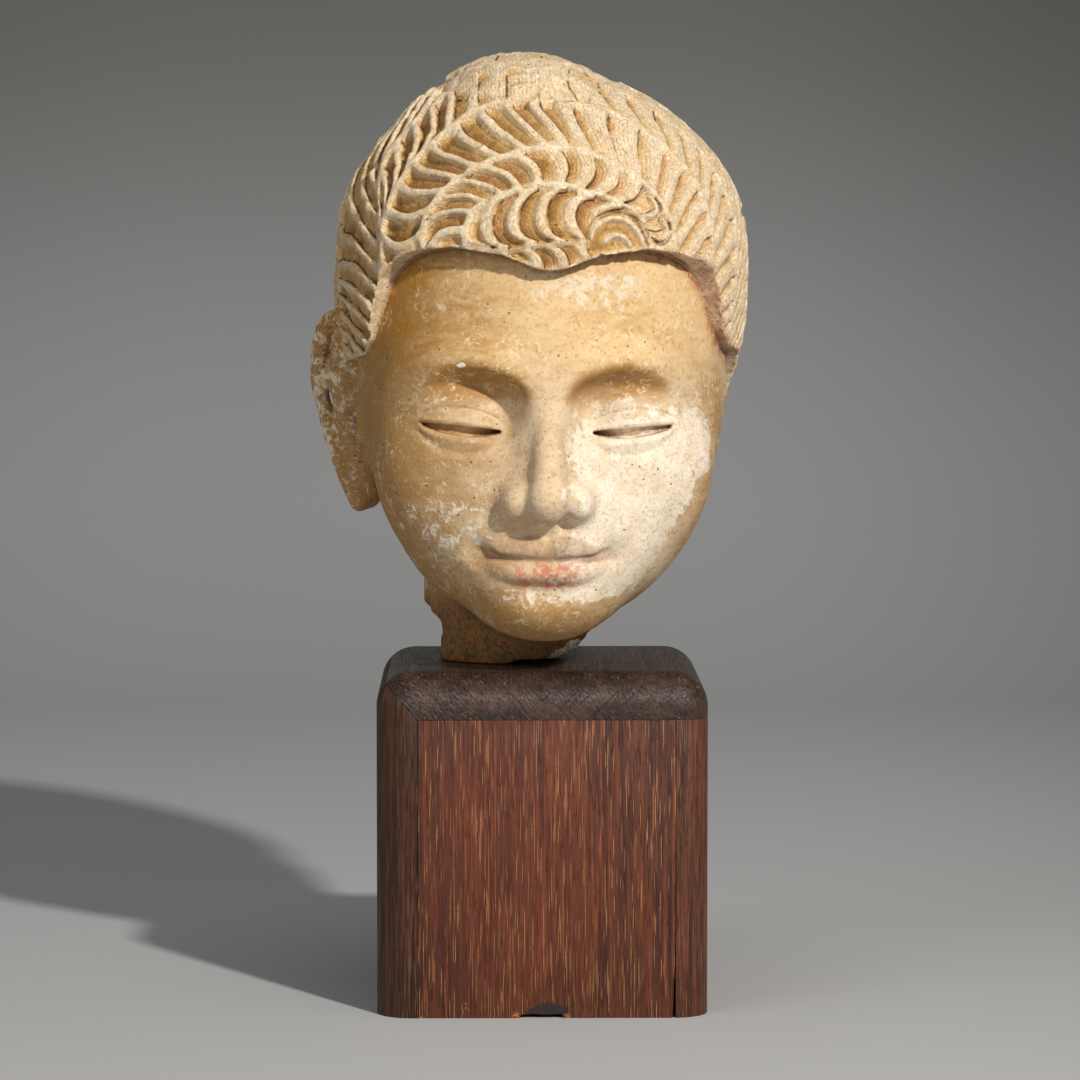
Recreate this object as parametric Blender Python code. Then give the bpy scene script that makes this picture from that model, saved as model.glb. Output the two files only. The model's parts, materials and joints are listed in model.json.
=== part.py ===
"""A life-size stucco head of the Buddha standing on a hollow block of dark wooden boards.

The block is six boards with eased edges around an empty space. The head is one solid: it is
modelled as a distance field, skinned and decimated, and its broken neck stands flat on the
block's top board. The origin is the middle of the block's underside, +Z is up and the face
looks along -Y.
"""
import math

import bmesh
import bpy
import numpy as np

# ---------------------------------------------------------------- driving dimensions, metres
BLOCK_WIDTH = 0.120
BLOCK_HEIGHT = 0.1247
UPRIGHT_RADIUS = 0.013      # rounding of the block's upright edges
TOP_RADIUS = 0.0126         # rounding of its top edges
TOP_THICK = 0.0165
LEFT_THICK = 0.015
RIGHT_THICK = 0.012
PANEL_THICK = 0.012         # front, back and bottom boards
SEAM = 0.0003               # open joint between two boards
CRACK_WIDTH, CRACK_HEIGHT = 0.0010, 0.026   # the joint to the right board gapes at its foot
CHIP_WIDTH, CHIP_HEIGHT, CHIP_DEPTH, CHIP_PLACE = 0.017, 0.0016, 0.004, 0.0
CHIP_EDGE = (-0.5, -1), (-0.47, 0.7), (-0.2, 1), (0.05, 0.75), (0.4, 0.95), (0.5, -1)
CORNER_STEPS = 7            # flats around a rounding

HEAD_HEIGHT = 0.235         # height of the head's middle, between the ears
TURN, LEAN, BOW = 1.5, 0.7, 3.0     # the head's attitude: degrees about Z, Y and X
HEAD_CELL = 1.1             # skinning grid, mm
HEAD_TRIANGLES = 8900

MM = 0.001
F = np.float32

# ---------------------------------------------------------------- the head's forms, millimetres
# The head is drawn upright about the point between the ears, face along -Y.
# A ball is (centre, radii); a rope is a run of (x, y, z, radius). Those of the face and the
# skull are mirrored in x.
CRANIUM = (0, 8, 24), (67, 80, 70)
FACE_OVAL = (0, -9, -22), (65.5, 68, 71)
JAW_TAPER = 0.13            # how much the face narrows to the chin
JAW = (0, -27, -56), (50, 44, 37)
CHEEK = (33, -43, -36), (25, 24, 27)
MUZZLE = (0, -54, -61), (31, 24, 24)
CHIN = (0, -56, -80.5), (21, 20.5, 14)

BROW = ((5, -70.5, -8, 4.5), (14, -71.2, 0, 4.5), (26, -68, 4.5, 4.5), (38, -61.5, 4, 4.5),
        (50, -49.5, -3, 3.6), (57, -38, -12, 2.4))
SOCKET = (31, -82, -8), (23.5, 20, 12.5)
INNER_SOCKET = (16.5, -82, -14), (7.5, 16, 10)

NOSE_RIDGE = ((0, -71, 2, 4.4), (0, -77, -12, 4.3), (0, -86.5, -33, 5.6), (0, -90.3, -41, 7.4))
NOSE_BODY = ((0, -66, -4, 7), (0, -75, -38, 11.5))
NOSE_WING = (11.2, -80.5, -43.5), (5.6, 9.0, 6.2)
NOSE_BASE = ((0, -90, -45.5, 3.2), (0, -78, -50.5, 3.8))
NOSTRIL = (6.0, -85.5, -51.8), (3.0, 5.2, 3.8)

LIP_GROOVE = ((0, -86.5, -51.5, 2.4), (0, -83.5, -57, 3.0))
UPPER_LIP = ((0, -79.2, -60.8, 3.6), (6.5, -79.6, -59.6, 4.3), (15, -76.6, -61.2, 3.2),
             (24.5, -71.2, -62.8, 1.4))
LOWER_LIP = ((0, -77.8, -68.8, 4.9), (8.5, -77.2, -68.6, 4.8), (15.5, -74.8, -67.1, 3.5),
             (21.5, -71.8, -64.8, 1.8))
MOUTH_LINE = ((0, -83.4, -64.9, 1.1), (8, -82.7, -63.9, 1.1), (22.5, -74.4, -62.6, 1.3))
MOUTH_CORNER = (25.5, -76.6, -62.6), (4.2, 4.4, 4.4)
CHIN_HOLLOW = (0, -83.5, -76.3), (14, 5.6, 3.2)

EYE_INNER, EYE_OUTER = 15.5, 45.5       # the slit's corners
EYE_SLIT_HEIGHT, EYE_SLIT_RISE = -19.5, 2.6
SLIT_OVER, SLIT_UNDER = 0.7, 2.7        # how far it opens above and below the line of the corners
# Each a line following the slit: height over it, how it arches, depth cut (or raised), width.
LID_LINES = ((2.2, 7.6, 1.1, 0.95), (1.1, 1.3, -0.7, 0.85), (-1.3, -3.6, -0.55, 1.0), (-3.0, -6.4, 0.6, 1.3))
ARCH_ROUND = 0.7
UPPER_LID = (30.5, -50.5, -14.5), (20.0, 19.0, 14.5)
LOWER_LID = (30.5, -50.0, -18.5), (19.5, 17.6, 11.0)
EYEBALL = (30.5, -51.0, -15.5), (18.0, 16.0, 13.0)

NECK_CENTRE, NECK_RADIUS, NECK_FLATNESS = (-6, 10, 0), 41, 0.88
# The neck's slanting breaks: each plane's direction across and up, and its distance.
RIGHT_BREAK, LEFT_BREAK = (0.683, -0.731, 84.6), (-0.826, -0.563, 84.2)
LEFT_END = 34.5             # where the left break turns upright
LIFT = 1.6                  # how far the chipped underside stands off the block at its front right

EAR_RIM = ((-65, -13, 2, 2.6), (-69, -12, 12, 3.0), (-75, -5, 16, 3.2), (-80, 5, 11, 3.4),
           (-82.0, 9, -2, 3.4), (-81, 9, -15, 3.2), (-77, 6, -29, 3.0), (-72, 0, -42, 3.2),
           (-66.5, -5, -52, 3.8))
EAR_PLATE = ((-68, 3, 8, 7), (-71, 6, -6, 8), (-68, 4, -24, 7), (-63.5, -2, -50, 5.0))
EAR_FOLD = ((-74.5, -1, 8, 2.0), (-76.5, 2, -4, 2.2), (-74, 0, -18, 2.2), (-69, -6, -26, 2.4))
EAR_FURROW = ((-72, -9, 9, 2.6), (-79.5, 1.0, 3, 1.6), (-79, 2, -14, 1.5), (-75, -2, -28, 1.4))
EAR_HOLLOW = ((-73, -10, 1, 5.2), (-70, -12, -18, 4.2))
EAR_FRONT = ((-63, -16, -8, 3.4), (-64, -15, -17, 3.6), (-65, -13, -27, 3.4))
LOBE_SLOT = ((-71.5, -8, -30, 2.4), (-69, -9, -40, 2.8), (-65, -11, -48, 2.0))
SCAR = ((62, -9, 6, 5), (63, -4, -12, 7), (60, -3, -30, 6), (54, -6, -46, 5))

HAIR_DOME = (0, 8, 30), (77, 87, 81)
HAIR_SIDES = (0, 8, 53), (70, 72, 37)
HAIR_NAPE = (0, 22, -2), (67, 72, 62)
TOPKNOT = (-2, 6, 97), (32, 42, 17.3)   # the low bump on the crown
CROWN_SHIFT = 4.5                       # the crown sits this far to -X
CROWN_LOW, CROWN_HIGH = 82, 108         # from where to where it is shifted
# Height of the hair's edge by the angle round the head, 0 at the face's middle.
HAIRLINE = ((0, 38.5), (4, 39.5), (13, 44), (28, 46), (40, 44), (48, 40), (54, 33), (58, 22),
            (62, 10), (68, 4), (77, 2), (88, 0), (98, -8), (112, -30), (135, -48), (180, -56))
RIGHT_SHORTER = 5                       # how much higher it ends over the lost ear

# Locks lie in bands between raised stems. The stems are nested arches about the forelock, on
# the dome unrolled to a plane; each is (half width, height), then one more every BAND.
FIRST_ARCHES = ((32, 15.5), (49, 31), (70, 57.6), (90, 80))
BAND, ARCHES = 22, 11
WIDER_RIGHT, NARROWER_LEFT = 6, 18      # the first arch reaches out to +X, the fourth in at -X
ARCH_POWER = 1.85
FORELOCK_TILT = 17                      # degrees over the horizon
UNROLL = 78.0
STEM_WIDE, STEM_THINNER = 2.3, 0.6      # width of a stem, and how much less it is to +X
HAIR_DEPTH = 3.3
PATCHY, RIGHT_WORN, BACK_PLAINER = 0.45, 0.12, 0.35     # how much shallower it is worn or left there
FORELOCK_SWELL = 1.6                    # how far the forelock stands out
KNOT_RELIEF, RIM_RELIEF = 0.65, 0.85    # height of the topknot's worn carving and of the rim
RIM_SLANT = 0.75
KNOT_WEAR = 0.55                        # how far the topknot's locks are worn away, 0 to 1
LOCK_PITCH, FIRST_PITCH = 10.0, 11.0    # spacing of the locks along a band, and in the first
# How the locks of each band lean and bow, by the side angle from -1 (left) to 1 (right):
# lean = a + b tanh(c side + d) + e to the far right; bow = f + g tanh(h side).
LOCK_SWEEP = ((4.5, 0, 1, 0, 0, 3.0, 0, 1), (5, 5, 3, 1.35, 11, -2.6, 1.5, 1),
              (0, 20, 2.2, 0, 0, 0, -2.5, 4), (0, 34, 1.6, 0, 0, 0, 0, 1))
FAR_RIGHT = 0.2, 0.7
BROAD_SIDE = -0.15, 0.3                 # from where to where the locks turn into flat strands
SHALLOW = (0.05, 0.3), 0.48             # where the locks are shallow next to a stem, and how much
# The forelock: a row of C-shaped locks over a row of short ones, and a whorl at the right.
ROW_PITCH, ROW_RADIUS, ROW_START = 10.4, 8.6, -25.0
ROW_LEVEL, ROW_RISE, ROW_HALF = 0.6, 4.4, 26    # the row's middle line and how it arches
EDGE_PITCH, EDGE_RADIUS, EDGE_START = 9.0, 7.5, -20.0
EDGE_TOP = -8.5                         # the height at which the short locks end
EDGE_SWELL, EDGE_LIFT = (3.5, 4, 16), (4, 18, 32)   # where it rises: over a place, and to the left
EDGE_STEM = 0.85, 1.7                   # height and width of the ridge between the two rows
WHORL_PLACE, WHORL_SIZE = (25, -4), 13.5
WHORL = ((24.5, -7, 5.6, 20, 150), (24.5, -5.5, 10.5, -5, 170))
WHORL_WIDE, HOOK_WIDE = 1.9, 1.5        # width of the curls' ridges
WHORL_KNOB = (28, -10.5), (6.5, 3.6)
HOOKS = (37.5, 10.5, 3.6, -125, 85), (41.5, 3.0, 3.8, -130, 75)     # two curls beside it
WORN_PATCH = (29, 32), (8, 13)          # where the carving is rubbed flat
NAPE_FROM, NAPE_STRANDS = (2.1, 2.6), 38    # plain strands at the back: angle from the forelock, count
WAVER = 2.4                             # how far a lock strays from its place
PARTING_WANDER = 0.22                   # how far the parting over the crown strays, radians


# ---------------------------------------------------------------- distance fields
def union(a, b, soft=0.0):
    """Both shapes, with a fillet about soft wide between them."""
    if soft <= 0:
        return np.minimum(a, b)
    h = np.maximum(soft - np.abs(a - b), 0.0) / soft
    return np.minimum(a, b) - h * h * soft * 0.25


def cut(a, b, soft=0.0):
    """Shape a without shape b."""
    return -union(-a, b, soft)


def meet(a, b, soft=0.0):
    """What shapes a and b share."""
    return -union(-a, -b, soft)


def ball(p, form):
    """An ellipsoid."""
    centre, radii = (np.array(k, F) for k in form)
    q = p - centre
    k0 = np.sqrt(((q / radii) ** 2).sum(1))
    k1 = np.sqrt(((q / (radii * radii)) ** 2).sum(1)) + 1e-6
    return k0 * (k0 - 1.0) / k1


def rope(p, knots, soft=0.0):
    """Tapered limbs through the knots."""
    whole = None
    for start, end in zip(knots, knots[1:]):
        a, b = np.array(start[:3], F), np.array(end[:3], F)
        ab = b - a
        t = np.clip(((p - a) @ ab) / (ab @ ab), 0, 1)
        q = p - a - t[:, None] * ab
        limb = np.sqrt((q * q).sum(1)) - (start[3] + (end[3] - start[3]) * t)
        whole = limb if whole is None else union(whole, limb, soft)
    return whole


def curved(knots, steps=3):
    """The knots with more between them, on a smooth curve that may cross x = 0 level."""
    k = np.array(knots, float)
    before = k[1] * (-1, 1, 1, 1) if k[0, 0] == 0 < k[1, 0] else 2 * k[0] - k[1]
    k = np.concatenate([[before], k, [2 * k[-1] - k[-2]]])
    run = []
    for a, b, c, d in zip(k, k[1:], k[2:], k[3:]):
        for t in np.arange(steps) / steps:
            run.append(b + t * 0.5 * (c - a + t * (2 * a - 5 * b + 4 * c - d + t * (3 * (b - c) + d - a))))
    return [tuple(point) for point in run] + [tuple(k[-2])]


def smoothstep(x, low, high):
    t = np.clip((x - low) / (high - low), 0, 1)
    return t * t * (3 - 2 * t)


def bump(x, centre, width):
    return np.exp(-((x - centre) / width) ** 2)


LATTICE = 32
_lattices = {}


def noise(p, size, seed):
    """Smooth noise from -1 to 1 with features about size across."""
    if seed not in _lattices:
        values = np.random.default_rng(seed).uniform(-1, 1, (LATTICE,) * 3)
        _lattices[seed] = values.astype(F)
    g = _lattices[seed]
    q = p / size
    i = np.floor(q).astype(np.int64)
    f = q - i
    f = (f * f * (3 - 2 * f)).astype(F)
    i %= LATTICE
    j = (i + 1) % LATTICE
    total = 0
    for a, wx in ((i[:, 0], 1 - f[:, 0]), (j[:, 0], f[:, 0])):
        for b, wy in ((i[:, 1], 1 - f[:, 1]), (j[:, 1], f[:, 1])):
            for c, wz in ((i[:, 2], 1 - f[:, 2]), (j[:, 2], f[:, 2])):
                total = total + g[a, b, c] * (wx * wy * wz)
    return total


def attitude():
    """The head's rotation, as a matrix."""
    turn, lean, bow = (math.radians(k) for k in (TURN, LEAN, BOW))
    rz = np.array([[math.cos(turn), -math.sin(turn), 0], [math.sin(turn), math.cos(turn), 0], [0, 0, 1]])
    ry = np.array([[math.cos(lean), 0, math.sin(lean)], [0, 1, 0], [-math.sin(lean), 0, math.cos(lean)]])
    rx = np.array([[1, 0, 0], [0, math.cos(bow), -math.sin(bow)], [0, math.sin(bow), math.cos(bow)]])
    return rz @ ry @ rx


# ---------------------------------------------------------------- face
def mirrored(p):
    q = p.copy()
    q[:, 0] = np.abs(q[:, 0])
    return q


def skull(p):
    """The head's mass without hair: cranium, face oval, jaw, cheeks and chin."""
    q = mirrored(p)
    tapered = q.copy()
    tapered[:, 0] = q[:, 0] / (1 - JAW_TAPER * smoothstep(-p[:, 2], 14, 88))
    d = union(ball(q, CRANIUM), ball(tapered, FACE_OVAL), 22)
    for form, soft in ((JAW, 14), (CHEEK, 18), (MUZZLE, 20), (CHIN, 14)):
        d = union(d, ball(q, form), soft)
    return d


def nose(q):
    d = union(rope(q, curved(NOSE_RIDGE)), rope(q, NOSE_BODY, 1), 5)
    d = union(d, ball(q, NOSE_WING), 6)
    return union(d, rope(q, NOSE_BASE), 4)


def mouth(d, q):
    d = cut(d, rope(q, LIP_GROOVE), 3.5)
    d = union(d, rope(q, curved(UPPER_LIP)), 2.2)
    d = union(d, rope(q, curved(LOWER_LIP)), 2.6)
    d = cut(d, rope(q, curved(MOUTH_LINE)), 1.8)
    d = cut(d, ball(q, MOUTH_CORNER), 5)
    return cut(d, ball(q, CHIN_HOLLOW), 6)


def eye(d, q):
    """Lowered lids over the eyeball, a narrow slit between them and a fold above and below."""
    x, z = q[:, 0], q[:, 2]
    t = np.clip((x - EYE_INNER) / (EYE_OUTER - EYE_INNER), 0, 1)
    arch = (4 * t * (1 - t)) ** ARCH_ROUND
    line = EYE_SLIT_HEIGHT + EYE_SLIT_RISE * t
    d = union(d, union(ball(q, UPPER_LID), ball(q, LOWER_LID), 2.0), 2.0)
    fade = smoothstep(x, EYE_INNER - 2, EYE_INNER + 4) * (1 - smoothstep(x, EYE_OUTER - 3, EYE_OUTER + 4))
    for over, rise, depth, wide in LID_LINES:
        d = d + depth * bump(z, line + over + rise * arch, wide) * fade
    slit = np.maximum(z - line - SLIT_OVER * arch, line - SLIT_UNDER * arch - z)
    slit = np.maximum(slit, np.maximum(EYE_INNER - x, x - EYE_OUTER))
    d = cut(d, slit, 0.8)
    return union(d, ball(q, EYEBALL), 0.3)


def face(p, d):
    q = mirrored(p)
    d = union(d, rope(q, curved(BROW)), 10)
    d = cut(d, ball(q, SOCKET), 3.5)
    d = cut(d, ball(q, INNER_SOCKET), 7)
    d = union(d, nose(q), 6)
    d = cut(d, ball(q, NOSTRIL), 1.5)
    d = mouth(d, q)
    front = p[:, 1] < -40
    d[front] = eye(d[front], q[front])
    return d


# ---------------------------------------------------------------- neck and ears
def neck(p):
    """The stump of the neck, broken off at a slant on both sides."""
    q = p - np.array(NECK_CENTRE, F)
    d = (np.hypot(q[:, 0] / NECK_FLATNESS, q[:, 1]) - NECK_RADIUS) * NECK_FLATNESS
    ragged = noise(p, 9, 5) * 2.2 + noise(p, 4, 6) * 1.2
    right, left = (p[:, 0] * x + p[:, 2] * z - far + ragged for x, z, far in (RIGHT_BREAK, LEFT_BREAK))
    left = np.minimum(left, -p[:, 0] - LEFT_END + 0.6 * ragged)
    return meet(meet(d, right, 1.2), left, 1.2)


def foot(p, d):
    """The neck's level underside, one joint's width over the block."""
    up = attitude().T @ np.array([0, 0, 1.0])
    level = (BLOCK_HEIGHT + SEAM - HEAD_HEIGHT) / MM
    level = level + LIFT * smoothstep(p[:, 0] + noise(p, 8, 7) * 3, -13, -5) * smoothstep(-p[:, 1], 0, 12)
    return np.maximum(d, level - p @ up.astype(F))


def ear(p):
    """The surviving ear, at -X, with a long lobe and a chipped rim."""
    d = union(rope(p, curved(EAR_RIM, 2)), rope(p, EAR_PLATE, 4), 2)
    d = cut(d, rope(p, EAR_FURROW, 1), 1.5)
    d = cut(d, rope(p, EAR_HOLLOW), 2)
    d = union(d, rope(p, EAR_FOLD, 1.5), 1.5)
    d = union(d, rope(p, EAR_FRONT, 2), 2)
    d = cut(d, rope(p, LOBE_SLOT, 1), 1.5)
    chips = noise(p, 7, 11) * 1.3 + noise(p, 3.2, 12) * 0.6
    return d + np.maximum(chips - 0.1, 0) * smoothstep(-p[:, 0], 70, 80)


def scar(p):
    """The stump of the lost ear, at +X."""
    d = meet(rope(p, SCAR, 4), ball(p, ((0, 0, -10), (68, 74, 78))), 1.0)
    return d + noise(p, 5, 21) * 1.3 + noise(p, 2.4, 22) * 0.6


# ---------------------------------------------------------------- hair
def hair_map(p):
    """Place on the hair dome, unrolled about the forelock: across, up, and angle away."""
    centre, radii = (np.array(k, F) for k in HAIR_DOME)
    d = (p - centre) / radii
    d /= np.sqrt((d * d).sum(1))[:, None] + 1e-6
    tilt = math.radians(FORELOCK_TILT)
    forward = np.array([0, -math.cos(tilt), math.sin(tilt)], F)
    upward = np.array([0, math.sin(tilt), math.cos(tilt)], F)
    away = np.arccos(np.clip(d @ forward, -1, 1))
    side, top = d[:, 0], d @ upward
    k = away / np.maximum(np.hypot(side, top), 1e-4) * UNROLL
    return side * k, top * k, away


def arc_lock(x, z, cx, cz, radius, start, end, wide):
    """A tapered ridge along an arc, from start to end in degrees."""
    dx, dz = x - cx, z - cz
    middle, span = (start + end) / 2, (end - start) / 2
    off = np.abs((np.degrees(np.arctan2(dz, dx)) - middle + 180) % 360 - 180)
    reach = np.abs(np.hypot(dx, dz) - radius)
    tips = []
    for angle in (math.radians(start), math.radians(end)):
        tips.append(np.hypot(dx - radius * math.cos(angle), dz - radius * math.sin(angle)))
    reach = np.where(off <= span, reach, np.minimum(*tips))
    thin = 1 - 0.45 * np.clip(off / span, 0, 1) ** 2
    return np.exp(-(reach / (wide * thin)) ** 2)


def lock_section(f, broad):
    """Height across a lock, from one ridge (f = 0) to the next (f = 1).

    Behind the ridge it falls steeply, then it rises slowly. broad is 0 for ridges over
    deep hollows and 1 for flat strands parted by a crease.
    """
    fall = 1 - smoothstep(f, 0.02, 0.17)
    rise = smoothstep(f, 0.40 - 0.28 * broad, 0.90 - 0.22 * broad)
    floor = 0.10 + 0.12 * broad
    return np.maximum(fall, floor * smoothstep(f, 0.1, 0.4) + (1 - floor) * rise) * (1 - 0.2 * broad)


def forelock(x, z):
    """C-shaped locks in a row, short locks along the edge and a whorl at the right."""
    middle = ROW_LEVEL + ROW_RISE * np.sin(math.pi * np.clip((x + ROW_HALF) / (2 * ROW_HALF), 0, 1))
    u = np.clip((z - middle) / ROW_RADIUS, -0.98, 0.98)
    phase = (x + ROW_RADIUS * np.sqrt(1 - u * u) - ROW_START) / ROW_PITCH
    row = lock_section(phase - np.floor(phase), 0.25)
    swell, lift = EDGE_SWELL[0] * bump(x, *EDGE_SWELL[1:]), EDGE_LIFT[0] * smoothstep(-x, *EDGE_LIFT[1:])
    divide = EDGE_TOP + swell + lift
    u = np.clip((z - divide) / EDGE_RADIUS + 1, -0.98, 0.98)
    phase = (x - EDGE_RADIUS * np.sqrt(1 - u * u) - EDGE_START) / EDGE_PITCH
    low_row = lock_section(phase - np.floor(phase), 0.45)
    h = row + (low_row - row) * smoothstep(divide - z, -1, 1.5)
    h = np.maximum(h, EDGE_STEM[0] * bump(z, divide, EDGE_STEM[1]))
    whorl = np.full_like(x, 0.1)
    for cx, cz, radius, start, end in WHORL:
        whorl = np.maximum(whorl, arc_lock(x, z, cx, cz, radius, start, end, WHORL_WIDE))
    (cx, cz), (wide, high) = WHORL_KNOB
    whorl = np.maximum(whorl, np.exp(-((x - cx) / wide) ** 4 - ((z - cz) / high) ** 4))
    (cx, cz), size = WHORL_PLACE, WHORL_SIZE
    return h + (whorl - h) * (1 - smoothstep(np.hypot(x - cx, z - cz), size - 3, size))


def arches():
    """Half width and height of each stem."""
    yield from FIRST_ARCHES
    width, height = FIRST_ARCHES[-1]
    for i in range(1, ARCHES - len(FIRST_ARCHES) + 1):
        yield width + BAND * i, height + BAND * i


def barbs(band, side, travel, t):
    """Curved locks across a band: t is 0 at its inner stem and 1 at its outer one."""
    a, b, c, d, e, f, g, h = LOCK_SWEEP[min(band, len(LOCK_SWEEP)) - 1]
    lean = a + b * np.tanh(c * side + d) + e * smoothstep(side, *FAR_RIGHT)
    bow = f + g * np.tanh(h * side)
    phase = (travel - lean * (1 - t) - bow * 4 * t * (1 - t)) / (FIRST_PITCH if band == 1 else LOCK_PITCH)
    broad = smoothstep(side, *BROAD_SIDE)
    h = lock_section(phase - np.floor(phase), broad)
    shallow = (1 - smoothstep(t, 0.1, 0.5)) * bump(side, *SHALLOW[0]) * (band < len(LOCK_SWEEP))
    return h + (0.8 - h) * SHALLOW[1] * shallow


def relief(p):
    """Height of the carved hair, from 0 in the hollows to 1 on the ridges."""
    x, z, away = hair_map(p)
    waver = noise(p, 24, 31) * WAVER + noise(p, 9, 34) * WAVER / 4
    up = np.maximum(z, 0)
    r = np.hypot(x, up) + 1e-4
    across, along = x / r, up / r
    angle = np.arctan2(x, up + 1e-4) + PARTING_WANDER * noise(p, 42, 35) * smoothstep(r, 84, 120)
    h = np.zeros_like(x)
    inner = np.zeros_like(x)
    todo = np.ones(len(x), bool)
    for band, (width, height) in enumerate(arches()):
        if band == 0:
            width = width + WIDER_RIGHT * smoothstep(x, 0, 20)
        if band == 3:
            width = width - NARROWER_LEFT * smoothstep(-angle, 0.9, 1.45)
        outer = np.abs(across / width) ** ARCH_POWER + (along / height) ** ARCH_POWER
        outer = outer ** (-1 / ARCH_POWER)
        here = todo & (r < outer)
        if band == 0:
            h[here] = forelock(x[here], z[here])
            edge = (outer - r)[here]
        else:
            wide = np.maximum(outer - inner, 1)[here]
            t = np.clip((r - inner)[here] / wide, 0, 1)
            middle = ((outer + inner) * 0.5)[here]
            spread = np.clip(middle / UNROLL, 0.1, 3.0)
            travel = angle[here] * middle * np.maximum(np.sin(spread) / spread, 0.25)
            travel = travel + np.maximum(-z[here], 0) * np.sign(x[here]) + waver[here]
            h[here] = barbs(band, angle[here] / (math.pi / 2), travel, t)
            edge = np.minimum(t, 1 - t) * wide
        stem = STEM_WIDE - STEM_THINNER * smoothstep(angle[here], 0.1, 0.7)
        h[here] = 1 - (1 - h[here]) * (1 - np.exp(-(edge / stem) ** 2))
        inner = np.where(todo & ~here, outer, inner)
        todo &= ~here
    hook = np.zeros_like(x)
    around = np.full_like(x, 99.0)
    for cx, cz, radius, start, end in HOOKS:
        hook = np.maximum(hook, arc_lock(x, z, cx, cz, radius, start, end, HOOK_WIDE))
        around = np.minimum(around, np.hypot(x - cx, z - cz) - radius)
    h = h + (np.maximum(hook, 0.45) - h) * (1 - smoothstep(around, 0.5, 3))
    (cx, cz), (wide, high) = WORN_PATCH
    h = h + (0.85 - h) * 0.9 * bump(x, cx, wide) * bump(z, cz, high)
    nape = smoothstep(away, *NAPE_FROM)
    strands = 0.35 + 0.6 * np.abs(np.cos(np.arctan2(p[:, 0], p[:, 1]) * NAPE_STRANDS / 2 + noise(p, 20, 33)))
    return h * (1 - nape) + strands * nape, x, z


def hair(p):
    """The cap of hair, carved and worn, ending in a ledge along the hairline."""
    p = p.copy()
    p[:, 0] += CROWN_SHIFT * smoothstep(p[:, 2], CROWN_LOW, CROWN_HIGH)
    cap = union(ball(p, HAIR_DOME), ball(p, HAIR_SIDES), 12)
    cap = union(cap, ball(p, HAIR_NAPE), 20)
    knot = ball(p, TOPKNOT)
    cap = union(cap, knot, 1.5)
    angles, heights = np.array(HAIRLINE, float).T
    above = p[:, 2] - np.interp(np.degrees(np.arctan2(np.abs(p[:, 0]), -p[:, 1])), angles, heights)
    above = above - RIGHT_SHORTER * smoothstep(p[:, 0], 50, 64) * smoothstep(-p[:, 1], -30, 0)
    near = np.abs(cap) < 8
    if near.any():
        q = p[near]
        h, x, z = relief(q)
        on_knot = 1 - smoothstep(knot[near], 0.5, 2.5)
        h = h + (KNOT_RELIEF + 0.3 * noise(q, 9, 36) - h) * on_knot * KNOT_WEAR
        h = h + (RIM_RELIEF - h) * bump(above[near], 0.0, 1.1)
        h = h - 0.35 * bump(knot[near], 2.4, 1.1)
        worn = 1 - PATCHY * smoothstep(noise(q, 30, 41), 0.0, 0.7) - RIGHT_WORN * smoothstep(q[:, 0], 20, 60)
        depth = HAIR_DEPTH * worn * (1 - BACK_PLAINER * smoothstep(q[:, 1], 20, 70))
        swell = FORELOCK_SWELL * bump(x, 2, 30) * bump(z, -1, 13)
        cap[near] += depth * (1 - h) - swell
    return meet(cap, above * -RIM_SLANT, 1.0)


def head(p):
    """The whole head: negative inside, in millimetres."""
    p = np.asarray(p, F)
    d = skull(p)
    parts = (
        ((p[:, 1] < -18) & (p[:, 2] < 50), face, None),
        (p[:, 2] < -35, neck, 6),
        ((p[:, 0] < -48) & (p[:, 2] < 40), ear, 3),
        ((p[:, 0] > 44) & (p[:, 2] < 30), scar, 3),
        (p[:, 2] > -75, hair, 0.6),
    )
    for where, form, soft in parts:
        if where.any():
            q = p[where]
            d[where] = form(q, d[where]) if soft is None else union(d[where], form(q), soft)
    return foot(p, d)


HEAD_LOW, HEAD_HIGH = (-92, -106, -116), (92, 104, 122)


# ---------------------------------------------------------------- skin of a field
def corners_of(grid):
    """The eight corner values of every cell."""
    n = np.array(grid.shape) - 1
    return [grid[x:n[0] + x, y:n[1] + y, z:n[2] + z] for x in (0, 1) for y in (0, 1) for z in (0, 1)]


def open_pinches(inside, value, cell):
    """Fills grid corners until no cell of the grid holds two sheets of skin."""
    while True:
        fill = np.zeros_like(inside)
        for axis in range(3):
            u, v = (axis + 1) % 3, (axis + 2) % 3

            def shifted(du, dv):
                where = [slice(None)] * 3
                where[u] = slice(1, None) if du else slice(None, -1)
                where[v] = slice(1, None) if dv else slice(None, -1)
                return tuple(where)

            a, b, c, d = (inside[shifted(*k)] for k in ((0, 0), (1, 0), (1, 1), (0, 1)))
            fill[shifted(1, 0)] |= a & c & ~b & ~d
            fill[shifted(0, 1)] |= a & c & ~b & ~d
            fill[shifted(0, 0)] |= b & d & ~a & ~c
            fill[shifted(1, 1)] |= b & d & ~a & ~c
        corner = corners_of(inside)
        count = sum(k.astype(np.int8) for k in corner)
        for k in range(4):
            for wanted in (2, 6):
                pair = (corner[k] == corner[7 - k]) & (corner[k] == (wanted == 2))
                x, y, z = np.where((count == wanted) & pair)
                for dx, dy, dz in np.ndindex(2, 2, 2):
                    fill[x + dx, y + dy, z + dz] = True
        fill &= ~inside
        if not fill.any():
            return
        value[fill] = -0.02 * cell
        inside |= fill


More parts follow.
